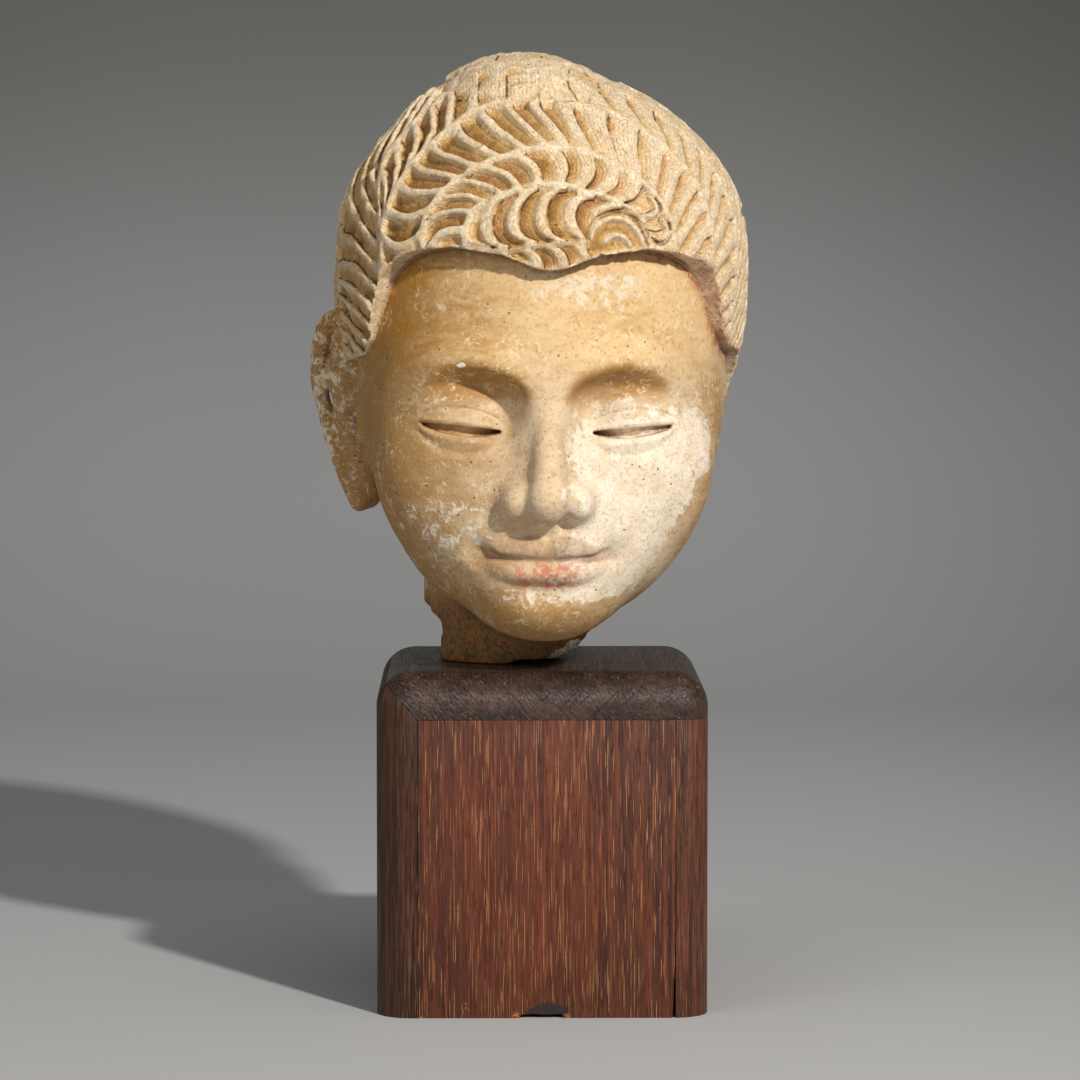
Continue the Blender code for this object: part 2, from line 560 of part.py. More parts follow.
def sample(field, low, high, cell, block=8, reach=6.0):
    """Values of the field on a grid, worked out only in blocks near the surface."""
    n = np.ceil((high - low) / cell / block).astype(int) * block + 1
    blocks = (n - 1) // block
    half = block * cell * 0.5
    axes = [low[k] + np.arange(blocks[k]) * block * cell + half for k in range(3)]
    centres = np.stack(np.meshgrid(*axes, indexing="ij"), -1).reshape(-1, 3)
    coarse = field(centres.astype(F))
    value = np.full(n, 1e3, F)
    value[:-1, :-1, :-1] = np.kron(coarse.reshape(blocks), np.ones((block,) * 3, F))
    close = np.where(np.abs(coarse) < half * 1.75 + reach)[0]
    starts = np.stack(np.unravel_index(close, blocks), 1) * block
    step = np.stack(np.meshgrid(*[np.arange(block + 1)] * 3, indexing="ij"), -1).reshape(-1, 3)
    wanted = np.zeros(n, bool)
    for some in np.array_split(starts, max(1, len(starts) // 400)):
        where = (some[:, None, :] + step[None]).reshape(-1, 3)
        wanted[where[:, 0], where[:, 1], where[:, 2]] = True
    where = np.stack(np.where(wanted), 1)
    for some in np.array_split(where, max(1, len(where) // 400000)):
        value[some[:, 0], some[:, 1], some[:, 2]] = field((low + some * cell).astype(F))
    return value


def skin(field, low, high, cell):
    """Points and quads of the field's surface: one point in each crossed cell, then settled."""
    low, high = np.array(low, float), np.array(high, float)
    value = sample(field, low, high, cell)
    inside = value < 0
    open_pinches(inside, value, cell)
    count = sum(k.astype(np.int8) for k in corners_of(inside))
    crossed = (count > 0) & (count < 8)
    cells = np.stack(np.where(crossed), 1)
    index = np.full(np.array(inside.shape) - 1, -1, np.int64)
    index[crossed] = np.arange(len(cells))
    corner = np.array(list(np.ndindex(2, 2, 2)))
    at = np.stack([value[tuple((cells + c).T)] for c in corner], 1)
    total = np.zeros((len(cells), 3))
    hits = np.zeros(len(cells))
    for i in range(8):
        for j in range(i + 1, 8):
            if np.abs(corner[i] - corner[j]).sum() == 1:
                crossing = (at[:, i] < 0) != (at[:, j] < 0)
                t = np.where(crossing, at[:, i] / np.where(crossing, at[:, i] - at[:, j], 1), 0)
                total += (corner[i] + t[:, None] * (corner[j] - corner[i])) * crossing[:, None]
                hits += crossing
    points = low + (cells + total / hits[:, None]) * cell
    quads = []
    for axis in range(3):
        u, v = (axis + 1) % 3, (axis + 2) % 3
        here, there = [slice(1, -1)] * 3, [slice(1, -1)] * 3
        here[axis], there[axis] = slice(0, -1), slice(1, None)
        a, b = inside[tuple(here)], inside[tuple(there)]
        for leaving, turned in ((a & ~b, False), (b & ~a, True)):
            edge = np.stack(np.where(leaving), 1)
            edge[:, u] += 1
            edge[:, v] += 1
            quad = []
            for du, dv in ((0, 0), (1, 0), (1, 1), (0, 1)):
                around = edge.copy()
                around[:, u] -= 1 - du
                around[:, v] -= 1 - dv
                quad.append(index[tuple(around.T)])
            quad = np.stack(quad, 1)
            quads.append(quad[:, ::-1] if turned else quad)
    middle = low + (cells + 0.5) * cell
    nudge = cell * 0.35
    for _ in range(2):
        p = points.astype(F)
        d = field(p)
        slope = np.stack([field(p + k * nudge) - d for k in np.eye(3, dtype=F)], 1) / nudge
        move = (d / np.maximum((slope * slope).sum(1), 0.3))[:, None] * slope
        points = np.clip(points - move, middle - cell * 0.5, middle + cell * 0.5)
    return points, np.concatenate(quads)


# ---------------------------------------------------------------- Blender objects
def material(name, colour, roughness):
    made = bpy.data.materials.new(name)
    made.use_nodes = True
    shader = made.node_tree.nodes["Principled BSDF"]
    shader.inputs["Base Color"].default_value = (*colour, 1)
    shader.inputs["Roughness"].default_value = roughness
    shader.inputs["Metallic"].default_value = 0
    return made


def add_object(name, mesh, surface=None):
    made = bpy.data.objects.new(name, mesh)
    bpy.context.scene.collection.objects.link(made)
    if surface:
        mesh.materials.append(surface)
    return made


def mesh_of(name, points, faces):
    mesh = bpy.data.meshes.new(name)
    mesh.from_pydata(points, [], faces)
    mesh.validate()
    return mesh


def stucco_head():
    """The head, skinned from its field, thinned to its triangles and set on the block."""
    points, quads = skin(head, HEAD_LOW, HEAD_HIGH, HEAD_CELL)
    points = (points @ attitude().T) * MM + np.array([0, 0, HEAD_HEIGHT])
    fine = mesh_of("head_skin", points.tolist(), quads.tolist())
    made = add_object("stucco_head", fine)
    thin = made.modifiers.new("thin", "DECIMATE")
    thin.ratio = HEAD_TRIANGLES / (2 * len(quads))
    thin.use_collapse_triangulate = True
    evaluated = made.evaluated_get(bpy.context.evaluated_depsgraph_get())
    made.data = bpy.data.meshes.new_from_object(evaluated)
    made.modifiers.clear()
    bpy.data.meshes.remove(fine)
    made.data.name = "stucco_head"
    for vertex in made.data.vertices:
        vertex.co.z = max(vertex.co.z, BLOCK_HEIGHT + SEAM)
    made.data.materials.append(material("painted stucco", (0.60, 0.45, 0.27), 0.85))
    made.data.shade_smooth()
    return made


def ring(inset, z):
    """A rounded square, inset from the block's plan, at height z."""
    half = BLOCK_WIDTH / 2 - inset
    radius = UPRIGHT_RADIUS - inset
    points = []
    for corner in range(4):
        for step in range(CORNER_STEPS + 1):
            angle = math.pi / 2 * (corner + step / CORNER_STEPS)
            cx = (half - radius) * (1 if corner in (0, 3) else -1)
            cy = (half - radius) * (1 if corner in (0, 1) else -1)
            points.append((cx + radius * math.cos(angle), cy + radius * math.sin(angle), z))
    return points


def envelope():
    """The block's outside: upright edges rounded, top edges rounded, underside sharp."""
    rings = [ring(0, 0)]
    for step in range(CORNER_STEPS + 1):
        angle = math.pi / 2 * step / CORNER_STEPS
        inset = TOP_RADIUS * (1 - math.cos(angle))
        rings.append(ring(inset, BLOCK_HEIGHT - TOP_RADIUS * (1 - math.sin(angle))))
    n = len(rings[0])
    faces = [tuple(reversed(range(n))), tuple(range((len(rings) - 1) * n, len(rings) * n))]
    for k in range(len(rings) - 1):
        for i in range(n):
            j = (i + 1) % n
            faces.append((k * n + i, k * n + j, (k + 1) * n + j, (k + 1) * n + i))
    return mesh_of("block_envelope", [p for one in rings for p in one], faces)


def prism(name, outline, axis, low, high):
    """An outline extruded along Y (axis 1) or Z (axis 2), as a hidden cutter."""
    rows = []
    for level in (low, high):
        rows.append([(a, level, b) if axis == 1 else (a, b, level) for a, b in outline])
    n = len(outline)
    faces = [tuple(range(n)), tuple(range(2 * n - 1, n - 1, -1))]
    faces += [(i, i + n, (i + 1) % n + n, (i + 1) % n) for i in range(n)]
    mesh = mesh_of(name, rows[0] + rows[1], faces)
    bm = bmesh.new()
    bm.from_mesh(mesh)
    bmesh.ops.recalc_face_normals(bm, faces=bm.faces)
    bm.to_mesh(mesh)
    bm.free()
    made = add_object(name, mesh)
    made.hide_render = True
    made.display_type = "WIRE"
    return made


def board(name, outside, surface, *cutters):
    """A board: the block's outside cut by each (operation, cutter) in turn."""
    made = add_object(name, outside.copy(), surface)
    made.data.name = name
    for operation, cutter in cutters:
        step = made.modifiers.new(cutter.name, "BOOLEAN")
        step.operation = operation
        step.solver = "EXACT"
        step.object = cutter
    made.data.shade_smooth()
    made.data.set_sharp_from_angle(angle=math.radians(30))
    return made


def block():
    """Six boards around an empty space."""
    red_wood = material("reddish brown wood", (0.075, 0.024, 0.016), 0.42)
    dark_wood = material("near-black wood", (0.022, 0.012, 0.009), 0.40)
    outside = envelope()
    half, gap = BLOCK_WIDTH / 2, SEAM / 2
    far = BLOCK_WIDTH
    left, right = -half + LEFT_THICK, half - RIGHT_THICK
    under_top = BLOCK_HEIGHT - TOP_THICK
    inner = half - PANEL_THICK
    slope = TOP_THICK / LEFT_THICK      # of the mitre between the left and the top board
    out = 2 * LEFT_THICK                # how far the mitre's cutters run

    below, above = under_top - gap, under_top + gap
    left_outline = ((-far, -far), (left - gap, -far), (left - gap, below),
                    (left - gap - out, below + out * slope), (-far, far))
    top_outline = ((left + gap, above), (far, above), (far, 2 * far), (left + gap - out, 2 * far),
                   (left + gap - out, above + out * slope))
    right_outline = (right + gap, -far), (far, -far), (far, below), (right + gap, below)
    between = (left + gap, -far), (right - gap, -far), (right - gap, below), (left + gap, below)
    cracked = ((left + gap, -far), (left + gap, below), (right - gap, below),
               (right - gap, CRACK_HEIGHT), (right - gap - CRACK_WIDTH, 0),
               (right - gap - CRACK_WIDTH, -far))
    left_side = prism("cut_left", left_outline, 1, -far, far)
    top_side = prism("cut_top", top_outline, 1, -far, far)
    right_side = prism("cut_right", right_outline, 1, -far, far)
    front_space = prism("cut_front", cracked, 1, -far, -inner - gap)
    back_space = prism("cut_back", between, 1, inner + gap, far)
    chip_outline = [(CHIP_PLACE + CHIP_WIDTH * a, CHIP_HEIGHT * b) for a, b in CHIP_EDGE]
    chip = prism("cut_chip", chip_outline, 1, -far, -half + CHIP_DEPTH)

    board("block_left", outside, dark_wood, ("INTERSECT", left_side))
    board("block_top", outside, dark_wood, ("INTERSECT", top_side))
    board("block_right", outside, dark_wood, ("INTERSECT", right_side))
    board("block_front", outside, red_wood, ("INTERSECT", front_space), ("DIFFERENCE", chip))
    board("block_back", outside, red_wood, ("INTERSECT", back_space))
    floor_half = inner - gap
    bottom_outline = ((left + gap, -floor_half), (right - gap, -floor_half), (right - gap, floor_half),
                      (left + gap, floor_half))
    bottom = prism("block_bottom", bottom_outline, 2, 0, PANEL_THICK)
    bottom.hide_render = False
    bottom.display_type = "TEXTURED"
    bottom.data.materials.append(dark_wood)


for old in list(bpy.data.objects):
    bpy.data.objects.remove(old, do_unlink=True)
stucco_head()
block()
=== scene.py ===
"""The stucco head on its wooden block, dressed: fine carving, worn paint, open-pored wood."""
import json
import math

import bmesh
import bpy
import numpy as np
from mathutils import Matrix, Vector

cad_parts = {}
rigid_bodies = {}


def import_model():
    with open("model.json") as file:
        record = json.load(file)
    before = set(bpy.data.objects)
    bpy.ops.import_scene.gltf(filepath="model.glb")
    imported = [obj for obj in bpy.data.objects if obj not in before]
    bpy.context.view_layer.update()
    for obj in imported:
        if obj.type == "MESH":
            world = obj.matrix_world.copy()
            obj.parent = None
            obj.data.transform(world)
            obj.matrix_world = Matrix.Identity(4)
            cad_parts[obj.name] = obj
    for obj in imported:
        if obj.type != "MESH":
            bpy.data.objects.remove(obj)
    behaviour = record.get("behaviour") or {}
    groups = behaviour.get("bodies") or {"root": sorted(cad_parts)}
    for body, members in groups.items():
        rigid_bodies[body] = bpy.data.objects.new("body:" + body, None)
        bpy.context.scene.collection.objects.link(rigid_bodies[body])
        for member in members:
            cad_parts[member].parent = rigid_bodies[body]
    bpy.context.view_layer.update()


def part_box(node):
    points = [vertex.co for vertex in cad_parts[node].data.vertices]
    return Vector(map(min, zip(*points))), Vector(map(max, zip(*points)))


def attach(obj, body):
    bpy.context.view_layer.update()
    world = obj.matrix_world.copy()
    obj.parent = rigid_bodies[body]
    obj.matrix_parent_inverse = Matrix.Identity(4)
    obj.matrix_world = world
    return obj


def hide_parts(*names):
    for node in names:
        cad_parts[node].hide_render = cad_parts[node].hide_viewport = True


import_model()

MM = 0.001
F = np.float32
BLOCK_HEIGHT, SEAM = 0.1247, 0.0003
HEAD_HEIGHT = 0.235         # of the point between the ears, m
TURN, LEAN, BOW = 1.5, 0.7, 3.0             # the head's attitude, degrees
FINE_CELL = 0.8      # skinning grid, mm
FINE_TRIANGLES = 190000

# the camera: lens in mm, place in m, dip and turn in degrees; the height that the lamps aim at
CAMERA_LENS, CAMERA_PLACE, CAMERA_DIP, CAMERA_TURN = 152.5, (-0.0198, -1.695, 0.290), 4.09, 0.66
LAMPS_AIM = 0.2

# the block, in metres
RING_STEPS = 16
BLOCK_WIDTH, UPRIGHT_RADIUS, TOP_RADIUS = 0.120, 0.013, 0.0126
TOP_THICK, LEFT_THICK, RIGHT_THICK, PANEL_THICK = 0.0165, 0.015, 0.012, 0.012
JOINT = 0.00012             # open joint between two boards, nearly closed
CRACK_WIDTH, CRACK_HEIGHT = 0.0010, 0.026
CHIP_WIDTH, CHIP_HEIGHT, CHIP_DEPTH = 0.017, 0.0016, 0.004
CHIP_EDGE = (-0.5, -1), (-0.47, 0.7), (-0.2, 1), (0.05, 0.75), (0.4, 0.95), (0.5, -1)
ARRIS = 0.00035             # rounding of the boards' sharp edges
FIBRE_WIDE, FIBRE_WANDER = 0.42, 1.2    # the wood's lines, mm, and how far they stray
BEHIND_SHIFT = 37.3         # keeps the lines behind the middle apart from those before it

# ---------------------------------------------------------------- the head's forms, millimetres
# The head is drawn upright about the point between the ears, face along -Y.
# A ball is (centre, radii); a rope is a run of (x, y, z, radius). Those of the face and the
# skull are mirrored in x.
CRANIUM = (0, 8, 24), (67, 80, 70)
FACE_OVAL = (0, -9, -22), (65.5, 68, 71)
JAW_TAPER = 0.13            # how much the face narrows to the chin
JAW = (0, -27, -56), (50, 44, 37)
CHEEK = (33, -43, -36), (25, 24, 27)
MUZZLE = (0, -54, -61), (31, 24, 24)
CHIN = (0, -56, -80.5), (21, 20.5, 14)

BROW = ((5, -70.5, -8, 4.5), (14, -71.2, 0, 4.5), (26, -68, 4.5, 4.5), (38, -61.5, 4, 4.5),
        (50, -49.5, -3, 3.6), (57, -38, -12, 2.4))
SOCKET = (31, -82, -8), (23.5, 20, 12.5)
INNER_SOCKET = (16.5, -82, -14), (7.5, 16, 10)

NOSE_RIDGE = ((0, -71, 2, 4.4), (0, -77, -12, 4.3), (0, -86.5, -33, 5.6), (0, -90.3, -41, 7.4))
NOSE_BODY = ((0, -66, -4, 7), (0, -75, -38, 11.5))
NOSE_WING = (11.2, -80.5, -43.5), (5.6, 9.0, 6.2)
NOSE_BASE = ((0, -90, -45.5, 3.2), (0, -78, -50.5, 3.8))
NOSTRIL = (6.0, -85.5, -51.8), (3.0, 5.2, 3.8)

LIP_GROOVE = ((0, -86.5, -51.5, 2.4), (0, -83.5, -57, 3.0))
UPPER_LIP = ((0, -79.2, -60.8, 3.6), (6.5, -79.6, -59.6, 4.3), (15, -76.6, -61.2, 3.2),
             (24.5, -71.2, -62.8, 1.4))
LOWER_LIP = ((0, -77.8, -68.8, 4.9), (8.5, -77.2, -68.6, 4.8), (15.5, -74.8, -67.1, 3.5),
             (21.5, -71.8, -64.8, 1.8))
MOUTH_LINE = ((0, -83.4, -64.9, 1.1), (8, -82.7, -63.9, 1.1), (22.5, -74.4, -62.6, 1.3))
MOUTH_CORNER = (25.5, -76.6, -62.6), (4.2, 4.4, 4.4)
CHIN_HOLLOW = (0, -83.5, -76.3), (14, 5.6, 3.2)

EYE_INNER, EYE_OUTER = 15.5, 45.5       # the slit's corners
EYE_SLIT_HEIGHT, EYE_SLIT_RISE = -19.5, 2.6
SLIT_OVER, SLIT_UNDER = 0.7, 2.7        # how far it opens above and below the line of the corners
# Each a line following the slit: height over it, how it arches, depth cut (or raised), width.
LID_LINES = ((2.0, 5.0, 1.1, 0.75), (1.2, 1.2, -0.8, 0.8), (-1.3, -3.4, -0.6, 0.9), (-2.8, -6.0, 0.7, 1.2))
ARCH_ROUND = 0.7            # less than 1 makes the lids' arches fuller
UPPER_LID = (30.5, -50.5, -14.5), (20.0, 19.0, 14.5)
LOWER_LID = (30.5, -50.0, -18.5), (19.5, 17.6, 11.0)
EYEBALL = (30.5, -51.0, -15.5), (18.0, 16.0, 13.0)

NECK_CENTRE, NECK_RADIUS, NECK_FLATNESS = (-6, 10, 0), 41, 0.88
# The neck's slanting breaks: each plane's direction across and up, and its distance.
RIGHT_BREAK, LEFT_BREAK = (0.683, -0.731, 84.6), (-0.826, -0.563, 84.2)
TORN_BREAK = (0.62, -0.5, -0.6, 81.0)       # the crumbled corner of the right break
LEFT_END = 34.5             # where the left break turns upright
LIFT = 1.6                  # how far the chipped underside stands off the block at its front right

EAR_RIM = ((-65, -13, 2, 2.6), (-69, -12, 12, 3.0), (-75, -5, 16, 3.2), (-80, 5, 11, 3.4),
           (-82.0, 9, -2, 3.4), (-81, 9, -15, 3.2), (-77, 6, -29, 3.0), (-72, 0, -42, 3.2),
           (-66.5, -5, -52, 3.8))
EAR_PLATE = ((-68, 3.5, 8.5, 8.6), (-71, 6, -6, 8), (-68, 4, -24, 7), (-63.5, -2, -50, 5.0))
EAR_FOLD = ((-74.5, -1, 8, 2.0), (-76.5, 2, -4, 2.2), (-74, 0, -18, 2.2), (-69, -6, -26, 2.4))
EAR_FURROW = ((-72, -9, 9, 2.6), (-79.5, 1.0, 3, 1.6), (-79, 2, -14, 1.5), (-75, -2, -28, 1.4))
EAR_HOLLOW = ((-73, -10, 1, 5.2), (-70, -12, -18, 4.2))
EAR_FRONT = ((-63, -16, -8, 3.4), (-64, -15, -17, 3.6), (-65, -13, -27, 3.4))
LOBE_SLOT = ((-71.5, -8, -30, 2.4), (-69, -9, -40, 2.8), (-65, -11, -48, 2.0))
SCAR = ((62, -9, 6, 5), (63, -4, -12, 7), (60, -3, -30, 6), (54, -6, -46, 5))

HAIR_DOME = (0, 8, 30), (77, 87, 81)
HAIR_SIDES = (0, 8, 53), (70, 72, 37)
HAIR_NAPE = (0, 22, -2), (67, 72, 62)
TOPKNOT = (-2, 6, 97), (32, 42, 17.3)   # the low bump on the crown
CROWN_SHIFT = 4.5                       # the crown sits this far to -X
CROWN_LOW, CROWN_HIGH = 82, 108         # from where to where it is shifted
# Height of the hair's edge by the angle round the head, 0 at the face's middle.
HAIRLINE = ((0, 38.5), (4, 39.5), (13, 44), (28, 46), (40, 44), (48, 40), (54, 33), (58, 22),
            (62, 10), (68, 4), (77, 2), (88, 0), (98, -8), (112, -30), (135, -48), (180, -56))
RIGHT_SHORTER = 5                       # how much higher it ends over the lost ear

# Locks lie in bands between raised stems. The stems are nested arches about the forelock, on
# the dome unrolled to a plane; each is (half width, height), then one more every BAND.
FIRST_ARCHES = ((32, 15.5), (49, 31), (70, 57.6), (90, 80))
BAND, ARCHES = 22, 11
WIDER_RIGHT, NARROWER_LEFT = 6, 18      # the first arch reaches out to +X, the fourth in at -X
ARCH_POWER = 1.85                       # 2 would make the arches ellipses
FORELOCK_TILT = 17                      # degrees over the horizon
UNROLL = 78.0                           # radius by which the dome is unrolled
STEM_WIDE, STEM_THINNER = 2.3, 0.6      # width of a stem, and how much less it is to +X
HAIR_DEPTH = 3.3                        # depth of the carving
PATCHY, RIGHT_WORN, BACK_PLAINER = 0.45, 0.12, 0.35     # how much shallower it is worn or left there
FORELOCK_SWELL = 1.6                    # how far the forelock stands out
KNOT_RELIEF, RIM_RELIEF = 0.65, 0.85    # height of the topknot's worn carving and of the rim
RIM_SLANT = 0.75                        # how steep the ledge along the hairline is
KNOT_WEAR = 0.55                        # how far the topknot's locks are worn away, 0 to 1
LOCK_PITCH, FIRST_PITCH = 10.0, 11.0    # spacing of the locks along a band, and in the first
# How the locks of each band lean and bow, by the side angle from -1 (left) to 1 (right):
# lean = a + b tanh(c side + d) + e to the far right; bow = f + g tanh(h side).
LOCK_SWEEP = ((4.5, 0, 1, 0, 0, 3.0, 0, 1), (5, 5, 3, 1.35, 11, -2.6, 1.5, 1),
              (0, 20, 2.2, 0, 0, 0, -2.5, 4), (0, 34, 1.6, 0, 0, 0, 0, 1))
FAR_RIGHT = 0.2, 0.7
BROAD_SIDE = -0.15, 0.3                 # from where to where the locks turn into flat strands
SHALLOW = (0.05, 0.3), 0.48             # where the locks are shallow next to a stem, and how much
# The forelock: a row of C-shaped locks over a row of short ones, and a whorl at the right.
ROW_PITCH, ROW_RADIUS, ROW_START = 10.4, 8.6, -25.0
ROW_LEVEL, ROW_RISE, ROW_HALF = 0.6, 4.4, 26    # the row's middle line and how it arches
EDGE_PITCH, EDGE_RADIUS, EDGE_START = 9.0, 7.5, -20.0
EDGE_TOP = -8.5                         # the height at which the short locks end
EDGE_SWELL, EDGE_LIFT = (3.5, 4, 16), (4, 18, 32)   # where it rises: over a place, and to the left
EDGE_STEM = 0.85, 1.7                   # height and width of the ridge between the two rows
WHORL_PLACE, WHORL_SIZE = (25, -4), 13.5
WHORL = ((24.5, -7, 5.6, 20, 150), (24.5, -5.5, 10.5, -5, 170))
WHORL_WIDE, HOOK_WIDE = 1.9, 1.5        # width of the curls' ridges
WHORL_KNOB = (28, -10.5), (6.5, 3.6)
HOOKS = (37.5, 10.5, 3.6, -125, 85), (41.5, 3.0, 3.8, -130, 75)     # two curls beside it
WORN_PATCH = (29, 32), (8, 13)          # where the carving is rubbed flat
NAPE_FROM, NAPE_STRANDS = (2.1, 2.6), 38    # plain strands at the back: angle from the forelock, count
WAVER = 2.4                             # how far a lock strays from its place
PARTING_WANDER = 0.22                   # how far the parting over the crown strays, radians
HAND_SIZE, HAND_REACH = 13, 0.9         # size of the carver's wander from the drawn pattern, and its reach
CRISPNESS, CRISP_FROM = 0.75, 0.36      # how much sharper the ridges are cut, and from which height
KNOT_CRUMBS, TEMPLE_CRUMBS = 0.8, 0.5   # how broken up the crown and the left temple are


# ---------------------------------------------------------------- distance fields
def union(a, b, soft=0.0):
    """Both shapes, with a fillet about soft wide between them."""
    if soft <= 0:
        return np.minimum(a, b)
    h = np.maximum(soft - np.abs(a - b), 0.0) / soft
    return np.minimum(a, b) - h * h * soft * 0.25


def cut(a, b, soft=0.0):
    """Shape a without shape b."""
    return -union(-a, b, soft)


def meet(a, b, soft=0.0):
    """What shapes a and b share."""
    return -union(-a, -b, soft)


def ball(p, form):
    """An ellipsoid."""
    centre, radii = (np.array(k, F) for k in form)
    q = p - centre
    k0 = np.sqrt(((q / radii) ** 2).sum(1))
    k1 = np.sqrt(((q / (radii * radii)) ** 2).sum(1)) + 1e-6
    return k0 * (k0 - 1.0) / k1


def rope(p, knots, soft=0.0):
    """Tapered limbs through the knots."""
    whole = None
    for start, end in zip(knots, knots[1:]):
        a, b = np.array(start[:3], F), np.array(end[:3], F)
        ab = b - a
        t = np.clip(((p - a) @ ab) / (ab @ ab), 0, 1)
        q = p - a - t[:, None] * ab
        limb = np.sqrt((q * q).sum(1)) - (start[3] + (end[3] - start[3]) * t)
        whole = limb if whole is None else union(whole, limb, soft)
    return whole


def curved(knots, steps=3):
    """The knots with more between them, on a smooth curve that may cross x = 0 level."""
    k = np.array(knots, float)
    before = k[1] * (-1, 1, 1, 1) if k[0, 0] == 0 < k[1, 0] else 2 * k[0] - k[1]
    k = np.concatenate([[before], k, [2 * k[-1] - k[-2]]])
    run = []
    for a, b, c, d in zip(k, k[1:], k[2:], k[3:]):
        for t in np.arange(steps) / steps:
            run.append(b + t * 0.5 * (c - a + t * (2 * a - 5 * b + 4 * c - d + t * (3 * (b - c) + d - a))))
    return [tuple(point) for point in run] + [tuple(k[-2])]


def smoothstep(x, low, high):
    t = np.clip((x - low) / (high - low), 0, 1)
    return t * t * (3 - 2 * t)


def bump(x, centre, width):
    return np.exp(-((x - centre) / width) ** 2)


LATTICE = 32
_lattices = {}


def noise(p, size, seed):
    """Smooth noise from -1 to 1 with features about size across."""
    if seed not in _lattices:
        values = np.random.default_rng(seed).uniform(-1, 1, (LATTICE,) * 3)
        _lattices[seed] = values.astype(F)
    g = _lattices[seed]
    q = p / size
    i = np.floor(q).astype(np.int64)
    f = q - i
    f = (f * f * (3 - 2 * f)).astype(F)
    i %= LATTICE
    j = (i + 1) % LATTICE
    total = 0
    for a, wx in ((i[:, 0], 1 - f[:, 0]), (j[:, 0], f[:, 0])):
        for b, wy in ((i[:, 1], 1 - f[:, 1]), (j[:, 1], f[:, 1])):
            for c, wz in ((i[:, 2], 1 - f[:, 2]), (j[:, 2], f[:, 2])):
                total = total + g[a, b, c] * (wx * wy * wz)
    return total


def attitude():
    """The head's rotation, as a matrix."""
    turn, lean, bow = (math.radians(k) for k in (TURN, LEAN, BOW))
    rz = np.array([[math.cos(turn), -math.sin(turn), 0], [math.sin(turn), math.cos(turn), 0], [0, 0, 1]])
    ry = np.array([[math.cos(lean), 0, math.sin(lean)], [0, 1, 0], [-math.sin(lean), 0, math.cos(lean)]])
    rx = np.array([[1, 0, 0], [0, math.cos(bow), -math.sin(bow)], [0, math.sin(bow), math.cos(bow)]])
    return rz @ ry @ rx


# ---------------------------------------------------------------- face
def mirrored(p):
    q = p.copy()
    q[:, 0] = np.abs(q[:, 0])
    return q


def on_face(p):
    """Whether the face's features can reach the points."""
    return (p[:, 1] < -18) & (p[:, 2] < 50)


def skull(p):
    """The head's mass without hair: cranium, face oval, jaw, cheeks and chin."""
    q = mirrored(p)
    tapered = q.copy()
    tapered[:, 0] = q[:, 0] / (1 - JAW_TAPER * smoothstep(-p[:, 2], 14, 88))
    d = union(ball(q, CRANIUM), ball(tapered, FACE_OVAL), 22)
    for form, soft in ((JAW, 14), (CHEEK, 18), (MUZZLE, 20), (CHIN, 14)):
        d = union(d, ball(q, form), soft)
    return d


def nose(q):
    d = union(rope(q, curved(NOSE_RIDGE)), rope(q, NOSE_BODY, 1), 5)
    d = union(d, ball(q, NOSE_WING), 6)
    return union(d, rope(q, NOSE_BASE), 4)


def mouth(d, q):
    d = cut(d, rope(q, LIP_GROOVE), 3.5)
    d = union(d, rope(q, curved(UPPER_LIP)), 2.2)
    d = union(d, rope(q, curved(LOWER_LIP)), 2.6)
    d = cut(d, rope(q, curved(MOUTH_LINE)), 1.8)
    d = cut(d, ball(q, MOUTH_CORNER), 5)
    return cut(d, ball(q, CHIN_HOLLOW), 6)


def eye(d, q):
    """Lowered lids over the eyeball, a narrow slit between them and a fold above and below."""
    x, z = q[:, 0], q[:, 2]
    t = np.clip((x - EYE_INNER) / (EYE_OUTER - EYE_INNER), 0, 1)
    arch = (4 * t * (1 - t)) ** ARCH_ROUND
    line = EYE_SLIT_HEIGHT + EYE_SLIT_RISE * t
    d = union(d, union(ball(q, UPPER_LID), ball(q, LOWER_LID), 2.0), 2.0)
    fade = smoothstep(x, EYE_INNER - 2, EYE_INNER + 4) * (1 - smoothstep(x, EYE_OUTER - 3, EYE_OUTER + 4))
    for over, rise, depth, wide in LID_LINES:
        d = d + depth * bump(z, line + over + rise * arch, wide) * fade
    slit = np.maximum(z - line - SLIT_OVER * arch, line - SLIT_UNDER * arch - z)
    slit = np.maximum(slit, np.maximum(EYE_INNER - x, x - EYE_OUTER))
    d = cut(d, slit, 0.8)
    return union(d, ball(q, EYEBALL), 0.3)


def face(p, d):
    q = mirrored(p)
    d = union(d, rope(q, curved(BROW)), 10)
    d = cut(d, ball(q, SOCKET), 3.5)
    d = cut(d, ball(q, INNER_SOCKET), 7)
    d = union(d, nose(q), 6)
    d = cut(d, ball(q, NOSTRIL), 1.5)
    d = mouth(d, q)
    front = p[:, 1] < -40
    d[front] = eye(d[front], q[front])
    return d


